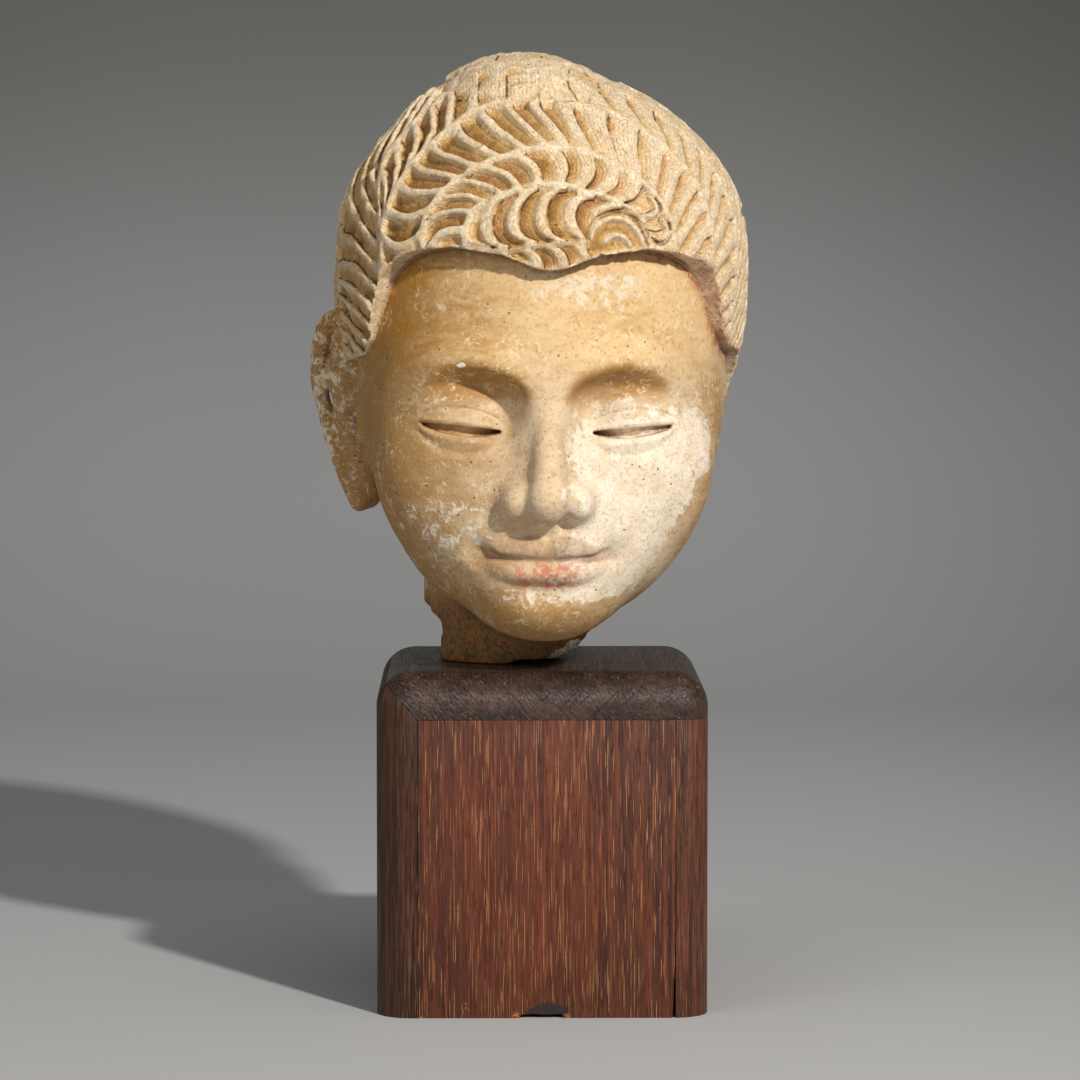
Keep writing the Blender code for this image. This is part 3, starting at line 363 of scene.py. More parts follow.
# ---------------------------------------------------------------- neck and ears
def neck(p):
    """The stump of the neck, broken off at a slant on both sides."""
    q = p - np.array(NECK_CENTRE, F)
    d = (np.hypot(q[:, 0] / NECK_FLATNESS, q[:, 1]) - NECK_RADIUS) * NECK_FLATNESS
    ragged = noise(p, 9, 5) * 2.2 + noise(p, 4, 6) * 1.2
    ragged = ragged + noise(p, 2, 8) * 0.5
    right, left = (p[:, 0] * x + p[:, 2] * z - far + ragged for x, z, far in (RIGHT_BREAK, LEFT_BREAK))
    x, y, z, far = TORN_BREAK
    torn = x * p[:, 0] + y * p[:, 1] + z * p[:, 2] - far + 0.5 * ragged + noise(p, 1.8, 9) * 0.9
    right = np.maximum(right, torn)
    left = np.minimum(left, -p[:, 0] - LEFT_END + 0.6 * ragged)
    return meet(meet(d, right, 1.2), left, 1.2)


def foot(p, d):
    """The neck's level underside, one joint's width over the block."""
    up = attitude().T @ np.array([0, 0, 1.0])
    level = (BLOCK_HEIGHT + SEAM - HEAD_HEIGHT) / MM
    level = level + LIFT * smoothstep(p[:, 0] + noise(p, 8, 7) * 3, -13, -5) * smoothstep(-p[:, 1], 0, 12)
    return np.maximum(d, level - p @ up.astype(F))


def ear(p):
    """The surviving ear, at -X, with a long lobe and a chipped rim."""
    d = union(rope(p, curved(EAR_RIM, 2)), rope(p, EAR_PLATE, 4), 2)
    d = cut(d, rope(p, EAR_FURROW, 1), 1.5)
    d = cut(d, rope(p, EAR_HOLLOW), 2)
    d = union(d, rope(p, EAR_FOLD, 1.5), 1.5)
    d = union(d, rope(p, EAR_FRONT, 2), 2)
    d = cut(d, rope(p, LOBE_SLOT, 1), 1.5)
    chips = noise(p, 7, 11) * 1.3 + noise(p, 3.2, 12) * 0.6
    return d + np.maximum(chips - 0.1, 0) * smoothstep(-p[:, 0], 70, 80)


def scar(p):
    """The stump of the lost ear, at +X."""
    d = meet(rope(p, SCAR, 4), ball(p, ((0, 0, -10), (68, 74, 78))), 1.0)
    return d + noise(p, 5, 21) * 1.3 + noise(p, 2.4, 22) * 0.6


# ---------------------------------------------------------------- hair
def hair_map(p):
    """Place on the hair dome, unrolled about the forelock: across, up, and angle away."""
    centre, radii = (np.array(k, F) for k in HAIR_DOME)
    d = (p - centre) / radii
    d /= np.sqrt((d * d).sum(1))[:, None] + 1e-6
    tilt = math.radians(FORELOCK_TILT)
    forward = np.array([0, -math.cos(tilt), math.sin(tilt)], F)
    upward = np.array([0, math.sin(tilt), math.cos(tilt)], F)
    away = np.arccos(np.clip(d @ forward, -1, 1))
    side, top = d[:, 0], d @ upward
    k = away / np.maximum(np.hypot(side, top), 1e-4) * UNROLL
    return side * k, top * k, away


def arc_lock(x, z, cx, cz, radius, start, end, wide):
    """A tapered ridge along an arc, from start to end in degrees."""
    dx, dz = x - cx, z - cz
    middle, span = (start + end) / 2, (end - start) / 2
    off = np.abs((np.degrees(np.arctan2(dz, dx)) - middle + 180) % 360 - 180)
    reach = np.abs(np.hypot(dx, dz) - radius)
    tips = []
    for angle in (math.radians(start), math.radians(end)):
        tips.append(np.hypot(dx - radius * math.cos(angle), dz - radius * math.sin(angle)))
    reach = np.where(off <= span, reach, np.minimum(*tips))
    thin = 1 - 0.45 * np.clip(off / span, 0, 1) ** 2
    return np.exp(-(reach / (wide * thin)) ** 2)


def lock_section(f, broad):
    """Height across a lock, from one ridge (f = 0) to the next (f = 1).

    Behind the ridge it falls steeply, then it rises slowly. broad is 0 for ridges over
    deep hollows and 1 for flat strands parted by a crease.
    """
    fall = 1 - smoothstep(f, 0.02, 0.17)
    rise = smoothstep(f, 0.40 - 0.28 * broad, 0.90 - 0.22 * broad)
    floor = 0.10 + 0.12 * broad
    return np.maximum(fall, floor * smoothstep(f, 0.1, 0.4) + (1 - floor) * rise) * (1 - 0.2 * broad)


def forelock(x, z):
    """C-shaped locks in a row, short locks along the edge and a whorl at the right."""
    middle = ROW_LEVEL + ROW_RISE * np.sin(math.pi * np.clip((x + ROW_HALF) / (2 * ROW_HALF), 0, 1))
    u = np.clip((z - middle) / ROW_RADIUS, -0.98, 0.98)
    phase = (x + ROW_RADIUS * np.sqrt(1 - u * u) - ROW_START) / ROW_PITCH
    row, upper_phase = lock_section(phase - np.floor(phase), 0.25), phase
    swell, lift = EDGE_SWELL[0] * bump(x, *EDGE_SWELL[1:]), EDGE_LIFT[0] * smoothstep(-x, *EDGE_LIFT[1:])
    divide = EDGE_TOP + swell + lift
    u = np.clip((z - divide) / EDGE_RADIUS + 1, -0.98, 0.98)
    phase = (x - EDGE_RADIUS * np.sqrt(1 - u * u) - EDGE_START) / EDGE_PITCH
    low_row = lock_section(phase - np.floor(phase), 0.45)
    h = row + (low_row - row) * smoothstep(divide - z, -1, 1.5)
    h = np.maximum(h, EDGE_STEM[0] * bump(z, divide, EDGE_STEM[1]))
    whorl = np.full_like(x, 0.1)
    for cx, cz, radius, start, end in WHORL:
        whorl = np.maximum(whorl, arc_lock(x, z, cx, cz, radius, start, end, WHORL_WIDE))
    (cx, cz), (wide, high) = WHORL_KNOB
    whorl = np.maximum(whorl, np.exp(-((x - cx) / wide) ** 4 - ((z - cz) / high) ** 4))
    (cx, cz), size = WHORL_PLACE, WHORL_SIZE
    in_whorl = 1 - smoothstep(np.hypot(x - cx, z - cz), size - 3, size)
    return h + (whorl - h) * in_whorl, np.where(in_whorl > 0.5, 0.5, np.where(z > divide, upper_phase, phase))


def arches():
    """Half width and height of each stem."""
    yield from FIRST_ARCHES
    width, height = FIRST_ARCHES[-1]
    for i in range(1, ARCHES - len(FIRST_ARCHES) + 1):
        yield width + BAND * i, height + BAND * i


def barbs(band, side, travel, t):
    """Curved locks across a band: t is 0 at its inner stem and 1 at its outer one."""
    a, b, c, d, e, f, g, h = LOCK_SWEEP[min(band, len(LOCK_SWEEP)) - 1]
    lean = a + b * np.tanh(c * side + d) + e * smoothstep(side, *FAR_RIGHT)
    bow = f + g * np.tanh(h * side)
    phase = (travel - lean * (1 - t) - bow * 4 * t * (1 - t)) / (FIRST_PITCH if band == 1 else LOCK_PITCH)
    broad = smoothstep(side, *BROAD_SIDE)
    h = lock_section(phase - np.floor(phase), broad)
    shallow = (1 - smoothstep(t, 0.1, 0.5)) * bump(side, *SHALLOW[0]) * (band < len(LOCK_SWEEP))
    return h + (0.8 - h) * SHALLOW[1] * shallow, phase


def hand_shake(p):
    """The carver's small wander from the drawn pattern."""
    return np.stack([noise(p, HAND_SIZE, seed) for seed in (61, 62, 63)], 1) * HAND_REACH


def relief(p):
    """Height of the carved hair, from 0 in the hollows to 1 on the ridges, and the place in it."""
    x, z, away = hair_map(p)
    waver = noise(p, 24, 31) * WAVER + noise(p, 9, 34) * WAVER / 4
    up = np.maximum(z, 0)
    r = np.hypot(x, up) + 1e-4
    across, along = x / r, up / r
    angle = np.arctan2(x, up + 1e-4) + PARTING_WANDER * noise(p, 42, 35) * smoothstep(r, 84, 120)
    h = np.zeros_like(x)
    lock = np.zeros_like(x)
    inner = np.zeros_like(x)
    todo = np.ones(len(x), bool)
    for band, (width, height) in enumerate(arches()):
        if band == 0:
            width = width + WIDER_RIGHT * smoothstep(x, 0, 20)
        if band == 3:
            width = width - NARROWER_LEFT * smoothstep(-angle, 0.9, 1.45)
        outer = np.abs(across / width) ** ARCH_POWER + (along / height) ** ARCH_POWER
        outer = outer ** (-1 / ARCH_POWER)
        here = todo & (r < outer)
        if band == 0:
            h[here], lock[here] = forelock(x[here], z[here])
            edge = (outer - r)[here]
        else:
            wide = np.maximum(outer - inner, 1)[here]
            t = np.clip((r - inner)[here] / wide, 0, 1)
            middle = ((outer + inner) * 0.5)[here]
            spread = np.clip(middle / UNROLL, 0.1, 3.0)
            travel = angle[here] * middle * np.maximum(np.sin(spread) / spread, 0.25)
            travel = travel + np.maximum(-z[here], 0) * np.sign(x[here]) + waver[here]
            h[here], lock[here] = barbs(band, angle[here] / (math.pi / 2), travel, t)
            edge = np.minimum(t, 1 - t) * wide
        stem = STEM_WIDE - STEM_THINNER * smoothstep(angle[here], 0.1, 0.7)
        h[here] = 1 - (1 - h[here]) * (1 - np.exp(-(edge / stem) ** 2))
        inner = np.where(todo & ~here, outer, inner)
        todo &= ~here
    hook = np.zeros_like(x)
    around = np.full_like(x, 99.0)
    for cx, cz, radius, start, end in HOOKS:
        hook = np.maximum(hook, arc_lock(x, z, cx, cz, radius, start, end, HOOK_WIDE))
        around = np.minimum(around, np.hypot(x - cx, z - cz) - radius)
    h = h + (np.maximum(hook, 0.45) - h) * (1 - smoothstep(around, 0.5, 3))
    (cx, cz), (wide, high) = WORN_PATCH
    h = h + (0.85 - h) * 0.9 * bump(x, cx, wide) * bump(z, cz, high)
    nape = smoothstep(away, *NAPE_FROM)
    strands = 0.35 + 0.6 * np.abs(np.cos(np.arctan2(p[:, 0], p[:, 1]) * NAPE_STRANDS / 2 + noise(p, 20, 33)))
    return h * (1 - nape) + strands * nape, x, z, lock


def roughened(p, h, knot):
    """The carving h, rubbed and broken up on the crown and at the left temple."""
    on_knot = 1 - smoothstep(knot, 0.5, 2.5)
    crumbs = 0.72 + 0.35 * noise(p, 7, 36) + 0.30 * noise(p, 3, 37)
    h = h + (crumbs - h) * on_knot * KNOT_CRUMBS
    temple = smoothstep(-p[:, 0], 54, 64) * smoothstep(-p[:, 1], -30, 10)
    return h + (crumbs - h) * temple * TEMPLE_CRUMBS


def crown_shifted(p):
    """The points as they lie about a crown in the middle."""
    p = p.copy()
    p[:, 0] += CROWN_SHIFT * smoothstep(p[:, 2], CROWN_LOW, CROWN_HIGH)
    return p


def over_hairline(p):
    """Height over the hair's edge."""
    angles, heights = np.array(HAIRLINE, float).T
    above = p[:, 2] - np.interp(np.degrees(np.arctan2(np.abs(p[:, 0]), -p[:, 1])), angles, heights)
    return above - RIGHT_SHORTER * smoothstep(p[:, 0], 50, 64) * smoothstep(-p[:, 1], -30, 0)


def hair(p):
    """The cap of hair, carved and worn, ending in a ledge along the hairline."""
    p = crown_shifted(p)
    cap = union(ball(p, HAIR_DOME), ball(p, HAIR_SIDES), 12)
    cap = union(cap, ball(p, HAIR_NAPE), 20)
    knot = ball(p, TOPKNOT)
    cap = union(cap, knot, 1.5)
    above = over_hairline(p)
    near = np.abs(cap) < 8
    if near.any():
        q = p[near]
        h, x, z = relief(q + hand_shake(q))[:3]
        h = (1 - CRISPNESS) * h + CRISPNESS * smoothstep(h, CRISP_FROM, 1.0)
        h = h * (1 - 0.35 * smoothstep(noise(q, 8, 52), 0.35, 0.75))
        on_knot = 1 - smoothstep(knot[near], 0.5, 2.5)
        h = roughened(q, h + (KNOT_RELIEF - h) * on_knot * KNOT_WEAR, knot[near])
        h = h + (RIM_RELIEF - h) * bump(above[near], 0.0, 1.1)
        h = h - 0.35 * bump(knot[near], 2.4, 1.1)
        worn = 1 - PATCHY * smoothstep(noise(q, 30, 41), 0.0, 0.7) - RIGHT_WORN * smoothstep(q[:, 0], 20, 60)
        depth = HAIR_DEPTH * worn * (1 - BACK_PLAINER * smoothstep(q[:, 1], 20, 70))
        swell = FORELOCK_SWELL * bump(x, 2, 30) * bump(z, -1, 13)
        cap[near] += depth * (1 - h) - swell
        cap[near] += 0.26 * noise(q, 5, 53) + 0.20 * noise(q, 2.4, 54)
    return meet(cap, above * -RIM_SLANT, 1.0)


def head(p):
    """The whole head: negative inside, in millimetres."""
    p = np.asarray(p, F)
    d = skull(p) + 0.20 * noise(p, 11, 71) + 0.09 * noise(p, 3.6, 72)
    parts = (
        (on_face(p), face, None),
        (p[:, 2] < -35, neck, 6),
        ((p[:, 0] < -48) & (p[:, 2] < 40), ear, 3),
        ((p[:, 0] > 44) & (p[:, 2] < 30), scar, 3),
        (p[:, 2] > -75, hair, 0.6),
    )
    for where, form, soft in parts:
        if where.any():
            q = p[where]
            d[where] = form(q, d[where]) if soft is None else union(d[where], form(q), soft)
    return foot(p, d)


HEAD_LOW, HEAD_HIGH = (-92, -106, -116), (92, 104, 122)     # the space that is searched for its skin


# ---------------------------------------------------------------- skin of a field
def corners_of(grid):
    """The eight corner values of every cell."""
    n = np.array(grid.shape) - 1
    return [grid[x:n[0] + x, y:n[1] + y, z:n[2] + z] for x in (0, 1) for y in (0, 1) for z in (0, 1)]


def open_pinches(inside, value, cell):
    """Fills grid corners until no cell of the grid holds two sheets of skin."""
    while True:
        fill = np.zeros_like(inside)
        for axis in range(3):
            u, v = (axis + 1) % 3, (axis + 2) % 3

            def shifted(du, dv):
                where = [slice(None)] * 3
                where[u] = slice(1, None) if du else slice(None, -1)
                where[v] = slice(1, None) if dv else slice(None, -1)
                return tuple(where)

            a, b, c, d = (inside[shifted(*k)] for k in ((0, 0), (1, 0), (1, 1), (0, 1)))
            fill[shifted(1, 0)] |= a & c & ~b & ~d
            fill[shifted(0, 1)] |= a & c & ~b & ~d
            fill[shifted(0, 0)] |= b & d & ~a & ~c
            fill[shifted(1, 1)] |= b & d & ~a & ~c
        corner = corners_of(inside)
        count = sum(k.astype(np.int8) for k in corner)
        for k in range(4):
            for wanted in (2, 6):
                pair = (corner[k] == corner[7 - k]) & (corner[k] == (wanted == 2))
                x, y, z = np.where((count == wanted) & pair)
                for dx, dy, dz in np.ndindex(2, 2, 2):
                    fill[x + dx, y + dy, z + dz] = True
        fill &= ~inside
        if not fill.any():
            return
        value[fill] = -0.02 * cell
        inside |= fill


def sample(field, low, high, cell, block=8, reach=6.0):
    """Values of the field on a grid, worked out only in blocks near the surface."""
    n = np.ceil((high - low) / cell / block).astype(int) * block + 1
    blocks = (n - 1) // block
    half = block * cell * 0.5
    axes = [low[k] + np.arange(blocks[k]) * block * cell + half for k in range(3)]
    centres = np.stack(np.meshgrid(*axes, indexing="ij"), -1).reshape(-1, 3)
    coarse = field(centres.astype(F))
    value = np.full(n, 1e3, F)
    value[:-1, :-1, :-1] = np.kron(coarse.reshape(blocks), np.ones((block,) * 3, F))
    close = np.where(np.abs(coarse) < half * 1.75 + reach)[0]
    starts = np.stack(np.unravel_index(close, blocks), 1) * block
    step = np.stack(np.meshgrid(*[np.arange(block + 1)] * 3, indexing="ij"), -1).reshape(-1, 3)
    wanted = np.zeros(n, bool)
    for some in np.array_split(starts, max(1, len(starts) // 400)):
        where = (some[:, None, :] + step[None]).reshape(-1, 3)
        wanted[where[:, 0], where[:, 1], where[:, 2]] = True
    where = np.stack(np.where(wanted), 1)
    for some in np.array_split(where, max(1, len(where) // 400000)):
        value[some[:, 0], some[:, 1], some[:, 2]] = field((low + some * cell).astype(F))
    return value


def skin(field, low, high, cell):
    """Points and quads of the field's surface: one point in each crossed cell, then settled."""
    low, high = np.array(low, float), np.array(high, float)
    value = sample(field, low, high, cell)
    inside = value < 0
    open_pinches(inside, value, cell)
    count = sum(k.astype(np.int8) for k in corners_of(inside))
    crossed = (count > 0) & (count < 8)
    cells = np.stack(np.where(crossed), 1)
    index = np.full(np.array(inside.shape) - 1, -1, np.int64)
    index[crossed] = np.arange(len(cells))
    corner = np.array(list(np.ndindex(2, 2, 2)))
    at = np.stack([value[tuple((cells + c).T)] for c in corner], 1)
    total = np.zeros((len(cells), 3))
    hits = np.zeros(len(cells))
    for i in range(8):
        for j in range(i + 1, 8):
            if np.abs(corner[i] - corner[j]).sum() == 1:
                crossing = (at[:, i] < 0) != (at[:, j] < 0)
                t = np.where(crossing, at[:, i] / np.where(crossing, at[:, i] - at[:, j], 1), 0)
                total += (corner[i] + t[:, None] * (corner[j] - corner[i])) * crossing[:, None]
                hits += crossing
    points = low + (cells + total / hits[:, None]) * cell
    quads = []
    for axis in range(3):
        u, v = (axis + 1) % 3, (axis + 2) % 3
        here, there = [slice(1, -1)] * 3, [slice(1, -1)] * 3
        here[axis], there[axis] = slice(0, -1), slice(1, None)
        a, b = inside[tuple(here)], inside[tuple(there)]
        for leaving, turned in ((a & ~b, False), (b & ~a, True)):
            edge = np.stack(np.where(leaving), 1)
            edge[:, u] += 1
            edge[:, v] += 1
            quad = []
            for du, dv in ((0, 0), (1, 0), (1, 1), (0, 1)):
                around = edge.copy()
                around[:, u] -= 1 - du
                around[:, v] -= 1 - dv
                quad.append(index[tuple(around.T)])
            quad = np.stack(quad, 1)
            quads.append(quad[:, ::-1] if turned else quad)
    middle = low + (cells + 0.5) * cell
    nudge = cell * 0.35
    for _ in range(2):
        p = points.astype(F)
        d = field(p)
        slope = np.stack([field(p + k * nudge) - d for k in np.eye(3, dtype=F)], 1) / nudge
        move = (d / np.maximum((slope * slope).sum(1), 0.3))[:, None] * slope
        points = np.clip(points - move, middle - cell * 0.5, middle + cell * 0.5)
    return points, np.concatenate(quads)


# ---------------------------------------------------------------- shading helpers
def srgb(red, green, blue):
    """A colour given as a screen shows it, 0 to 255."""
    linear = (((k / 255 + 0.055) / 1.055) ** 2.4 if k > 10 else k / 255 / 12.92 for k in (red, green, blue))
    return (*linear, 1)


class Signal:
    """A value that varies over a surface, and the sums that nodes do on it."""

    def __init__(self, surface, socket):
        self.surface, self.socket = surface, socket

    def math(self, operation, other=0.0):
        result = self.surface.node("Math", {0: self, 1: other})
        result.socket.node.operation = operation
        return result

    def __add__(self, other):
        return self.math("ADD", other)

    def __sub__(self, other):
        return self.math("SUBTRACT", other)

    def __mul__(self, other):
        return self.math("MULTIPLY", other)

    def rest(self):
        """What is missing from 1."""
        return self * -1.0 + 1.0

    def swing(self, reach):
        """A noise brought round 0, reach wide."""
        return (self - 0.5) * reach

    def ramp(self, low, high, start=0.0, end=1.0):
        """From low to high it becomes start to end, smoothly and held beyond."""
        limits = {"Value": self, "From Min": low, "From Max": high, "To Min": start, "To Max": end}
        result = self.surface.node("MapRange", limits)
        result.socket.node.interpolation_type = "SMOOTHSTEP"
        return result


class Surface:
    """A Principled material whose nodes are added one call at a time. Sizes are in millimetres."""

    def __init__(self, name, specular, turn=(0, 0, 0)):
        self.material = bpy.data.materials.new(name)
        self.material.use_nodes = True
        self.tree = self.material.node_tree
        self.shader = self.tree.nodes["Principled BSDF"]
        self.shader.inputs["Specular IOR Level"].default_value = specular
        self.raw = self.node("TexCoord", {}, "Object")
        self.place = self.turned(turn)

    def fill(self, node, inputs, output=0):
        """Sets or links the node's inputs and gives one of its outputs."""
        for key, value in inputs.items():
            if isinstance(value, Signal):
                self.tree.links.new(value.socket, node.inputs[key])
            else:
                node.inputs[key].default_value = value
        return Signal(self, node.outputs[output])

    def node(self, kind, inputs, output=0):
        return self.fill(self.tree.nodes.new("ShaderNode" + kind), inputs, output)

    def mix(self, factor, a, b):
        """From colour a to colour b: each a signal, four linear numbers, or three as on a screen."""
        a, b = (k if isinstance(k, Signal) or len(k) == 4 else srgb(*k) for k in (a, b))
        node = self.tree.nodes.new("ShaderNodeMix")
        node.data_type, node.clamp_factor = "RGBA", True
        return self.fill(node, {0: factor, 6: a, 7: b}, 2)

    def layers(self, base, *covers):
        """The base under covers laid on in turn, each where and how strongly, and its colour."""
        for strength, colour in covers:
            base = self.mix(strength, base, colour)
        return base

    def mark(self, name):
        """A value kept at the mesh's points."""
        value = self.node("Attribute", {}, "Fac")
        value.socket.node.attribute_name = name
        return value

    def turned(self, turn):
        return self.node("Mapping", {"Vector": self.raw, "Rotation": turn})

    def where(self, size, offset=(0, 0, 0), place=None):
        """Coordinates in units of size, which may differ along x, y and z."""
        scale = [1000 / k for k in (size if isinstance(size, tuple) else (size,) * 3)]
        return self.node("Mapping", {"Vector": place or self.place, "Scale": scale, "Location": offset})

    def split(self, vector):
        """The x, y and z of a vector."""
        return [Signal(self, part) for part in self.node("SeparateXYZ", {0: vector}).socket.node.outputs]

    def spot(self, centre, sizes):
        """1 about a place, in millimetres, fading to 0 at the sizes around it."""
        away = self.tree.nodes.new("ShaderNodeVectorMath")
        away.operation = "LENGTH"
        offset = [-c / k for c, k in zip(centre, sizes)]
        return self.fill(away, {0: self.where(sizes, offset)}, "Value").ramp(0.4, 1.0, 1.0, 0.0)

    def clouds(self, vector, detail, rough=0.5, bend=0.0):
        return self.node("TexNoise", {"Vector": vector, "Scale": 1.0, "Detail": detail, "Roughness": rough,
                                      "Distortion": bend}, "Fac")

    def noise(self, size, detail=2.0, rough=0.5, offset=(0, 0, 0), bend=0.0, place=None):
        return self.clouds(self.where(size, offset, place), detail, rough, bend)

    def cells(self, size, offset):
        """Distance to the nearest of scattered points."""
        return self.node("TexVoronoi", {"Vector": self.where(size, offset), "Scale": 1.0}, "Distance")

    def fibres(self, round_corners, length, seed, low, high):
        """Thin lines up the grain; each column of them begins and ends on its own.

        Columns lie along x, or with round_corners around a side board and its two rounded edges.
        """
        across, depth, up = self.split(self.where((FIBRE_WIDE, FIBRE_WIDE, length)))
        if round_corners:
            behind = depth.math("GREATER_THAN") * BEHIND_SHIFT
            across = across.math("ABSOLUTE") - depth.math("ABSOLUTE") + behind
        wander = self.noise((14, 14, 90), 2, 0.6, (seed, seed, seed)).swing(FIBRE_WANDER / FIBRE_WIDE)
        across = across + (wander + seed * 0.37)
        column = across.math("FLOOR")
        chance = self.tree.nodes.new("ShaderNodeTexWhiteNoise")
        chance.noise_dimensions = "1D"
        start = up + self.fill(chance, {"W": column}) * 90.0
        run = self.clouds(self.node("CombineXYZ", {0: column * 7.31, 2: start}), 1.0)
        middle = (across.math("FRACT") - 0.5).math("ABSOLUTE")
        return run.ramp(low, high) * middle.ramp(0.05, 0.40, 1.0, 0.0)

    def finish(self, colour, roughness, height):
        bumps = self.node("Bump", {"Strength": 1.0, "Distance": MM, "Height": height})
        self.fill(self.shader, {"Base Color": colour, "Roughness": roughness, "Normal": bumps})
        return self.material


# ---------------------------------------------------------------- painted stucco
def painted_stucco():
    s = Surface("worn painted stucco", 0.25)
    names = "hair", "ridge", "cavity_shade", "crease_shadow", "coat", "tone_and_shade", "wear", "lock"
    on_hair, ridge, cavity_shade, crease_shadow, coat, tone_and_shade, wear, lock = (s.mark(name) for name in names)
    large, middle = s.noise(28, 3), s.noise(7, 4, 0.6)
    fine, grain = s.noise(1.6, 4, 0.65), s.noise(0.45, 2, 0.6)
    brushed = s.noise((13, 13, 4), 4, 0.6, (3, 3, 3), 0.8)

    plaster = s.layers(
        s.mix(middle.ramp(0.35, 0.65), (224, 206, 180), (238, 225, 204)),
        (fine.ramp(0.50, 0.68, 0, 0.75), (198, 174, 142)),
        (s.noise(0.8, 3, 0.7, (5, 5, 1)).ramp(0.56, 0.66, 0, 0.6), (168, 138, 104)),
        (s.mark("brow") * 0.6, (224, 196, 154)))

    # ochre coat of the face: deeper where marked, partly as painted shade on the chin, jaw and left side,
    # washed out on the cheeks, scuffed, flaked off where the coat is thin, and darker in the hollows as
    # painted shade
    deep = (tone_and_shade + large.swing(0.9) + brushed.swing(0.9)).ramp(0.05, 0.95)
    scuff = s.noise(3.4, 8, 0.78, (1, 8, 4), 1.0).ramp(0.53, 0.60)
    scuff = scuff * s.noise(21, 2, offset=(2, 6, 9)).ramp(0.42, 0.60, 0.12, 0.75)
    ochre = s.layers(
        s.mix(deep, (222, 190, 142), (168, 120, 48)),
        (s.mark("cheeks") * 0.85, s.mix(deep, (214, 190, 158), (168, 130, 82))),
        (fine.ramp(0.50, 0.72, 0, 0.6), (162, 116, 64)),
        (scuff, (232, 208, 168)))
    edge = coat + s.noise(5.5, 6, 0.7, bend=0.6).swing(1.9)
    kept = edge.ramp(0.46, 0.52)
    rim = edge.ramp(0.40, 0.47) * edge.ramp(0.50, 0.58, 1, 0)
    sparse = (coat + middle.swing(1.2)).ramp(0.9, 0.45, 0, 0.75)
    face_colour = s.layers(
        s.mix(kept, plaster, ochre),
        (rim * 0.5, (240, 228, 206)),
        (s.noise(1.1, 3, 0.7, (7, 3, 1)).ramp(0.57, 0.66) * sparse, (232, 216, 190)),
        # painted shade: darker brown in the hollows
        (cavity_shade.ramp(0.45, 0.95, 0, 0.6), (140, 96, 52)))

    # hair: deep gold in the hollows, going over into rubbed cream on the ridges; painted shade in hollows and
    # creases, and a painted shadow line behind each lock's ridge
    level = ridge + s.noise(3.2, 5, 0.7).swing(0.9) + wear * 0.24
    pink = s.noise(17, 3, offset=(3, 9, 4)).ramp(0.48, 0.62) * wear.ramp(0, 0.6, 0.4, 1)
    hollow = s.mix(fine.ramp(0.40, 0.66, 0, 0.75), s.mix(pink, (170, 122, 58), (184, 124, 76)), (108, 72, 34))
    slope = s.mix(fine.ramp(0.50, 0.74, 0, 0.6), s.mix(pink, (216, 176, 112), (220, 172, 120)), (160, 120, 74))
    rubbed = s.mix(middle.ramp(0.40, 0.62), (226, 194, 148), (238, 212, 172))
    rubbed = s.mix(s.noise(0.9, 3, 0.7, (1, 5, 2)).ramp(0.54, 0.72, 0, 0.7), rubbed, (178, 150, 114))
    chalk = level.ramp(0.80, 1.0) * s.noise(2.0, 5, 0.7, (7, 7, 2)).ramp(0.42, 0.56)
    scratch = (s.noise(2.6, 3, 0.6, (6, 6, 6), 1.6) - 0.5).math("ABSOLUTE").ramp(0, 0.022, 1, 0)
    scratch = scratch * level.ramp(0.75, 0.25, 0, 0.75)
    locked = s.mark("plain").rest()
    turn = (lock + s.noise(2.2, 3, 0.6, (5, 1, 5)).swing(0.10)).math("FRACT")
    # painted shadow: a thin dark line just behind each lock's ridge, where it falls steeply; the bump also
    # sinks it as a shallow groove
    shadow_groove = turn.ramp(0.07, 0.11) * turn.ramp(0.13, 0.19, 1, 0) * ridge.ramp(0.86, 0.62)
    shadow_groove = shadow_groove * s.noise(5, 3, offset=(5, 5, 5)).ramp(0.36, 0.52) * locked
    combed = (lock * 50.0 + fine * 12.0).math("SINE")
    hatch = combed.ramp(0.45, 0.95) * s.noise(2.5, 3, 0.6, (8, 2, 2)).ramp(0.42, 0.58, 0, 0.45)
    open_hair = ridge.ramp(0.90, 0.985, 1, 0) * locked
    hair_colour = s.layers(
        s.mix(level.ramp(0.02, 0.50), hollow, slope),
        (level.ramp(0.54, 0.70), rubbed),
        (chalk * 0.8, (238, 220, 192)),
        (scratch, (104, 72, 40)),
        # painted shade in hollows and a painted shadow in narrow creases
        (cavity_shade.ramp(0.35, 0.90, 0, 0.55), (124, 80, 42)),
        (crease_shadow.ramp(0.22, 0.70, 0, 0.9), (72, 46, 26)),
        (shadow_groove * 0.85, (78, 52, 30)),
        (hatch * open_hair, (132, 92, 50)))
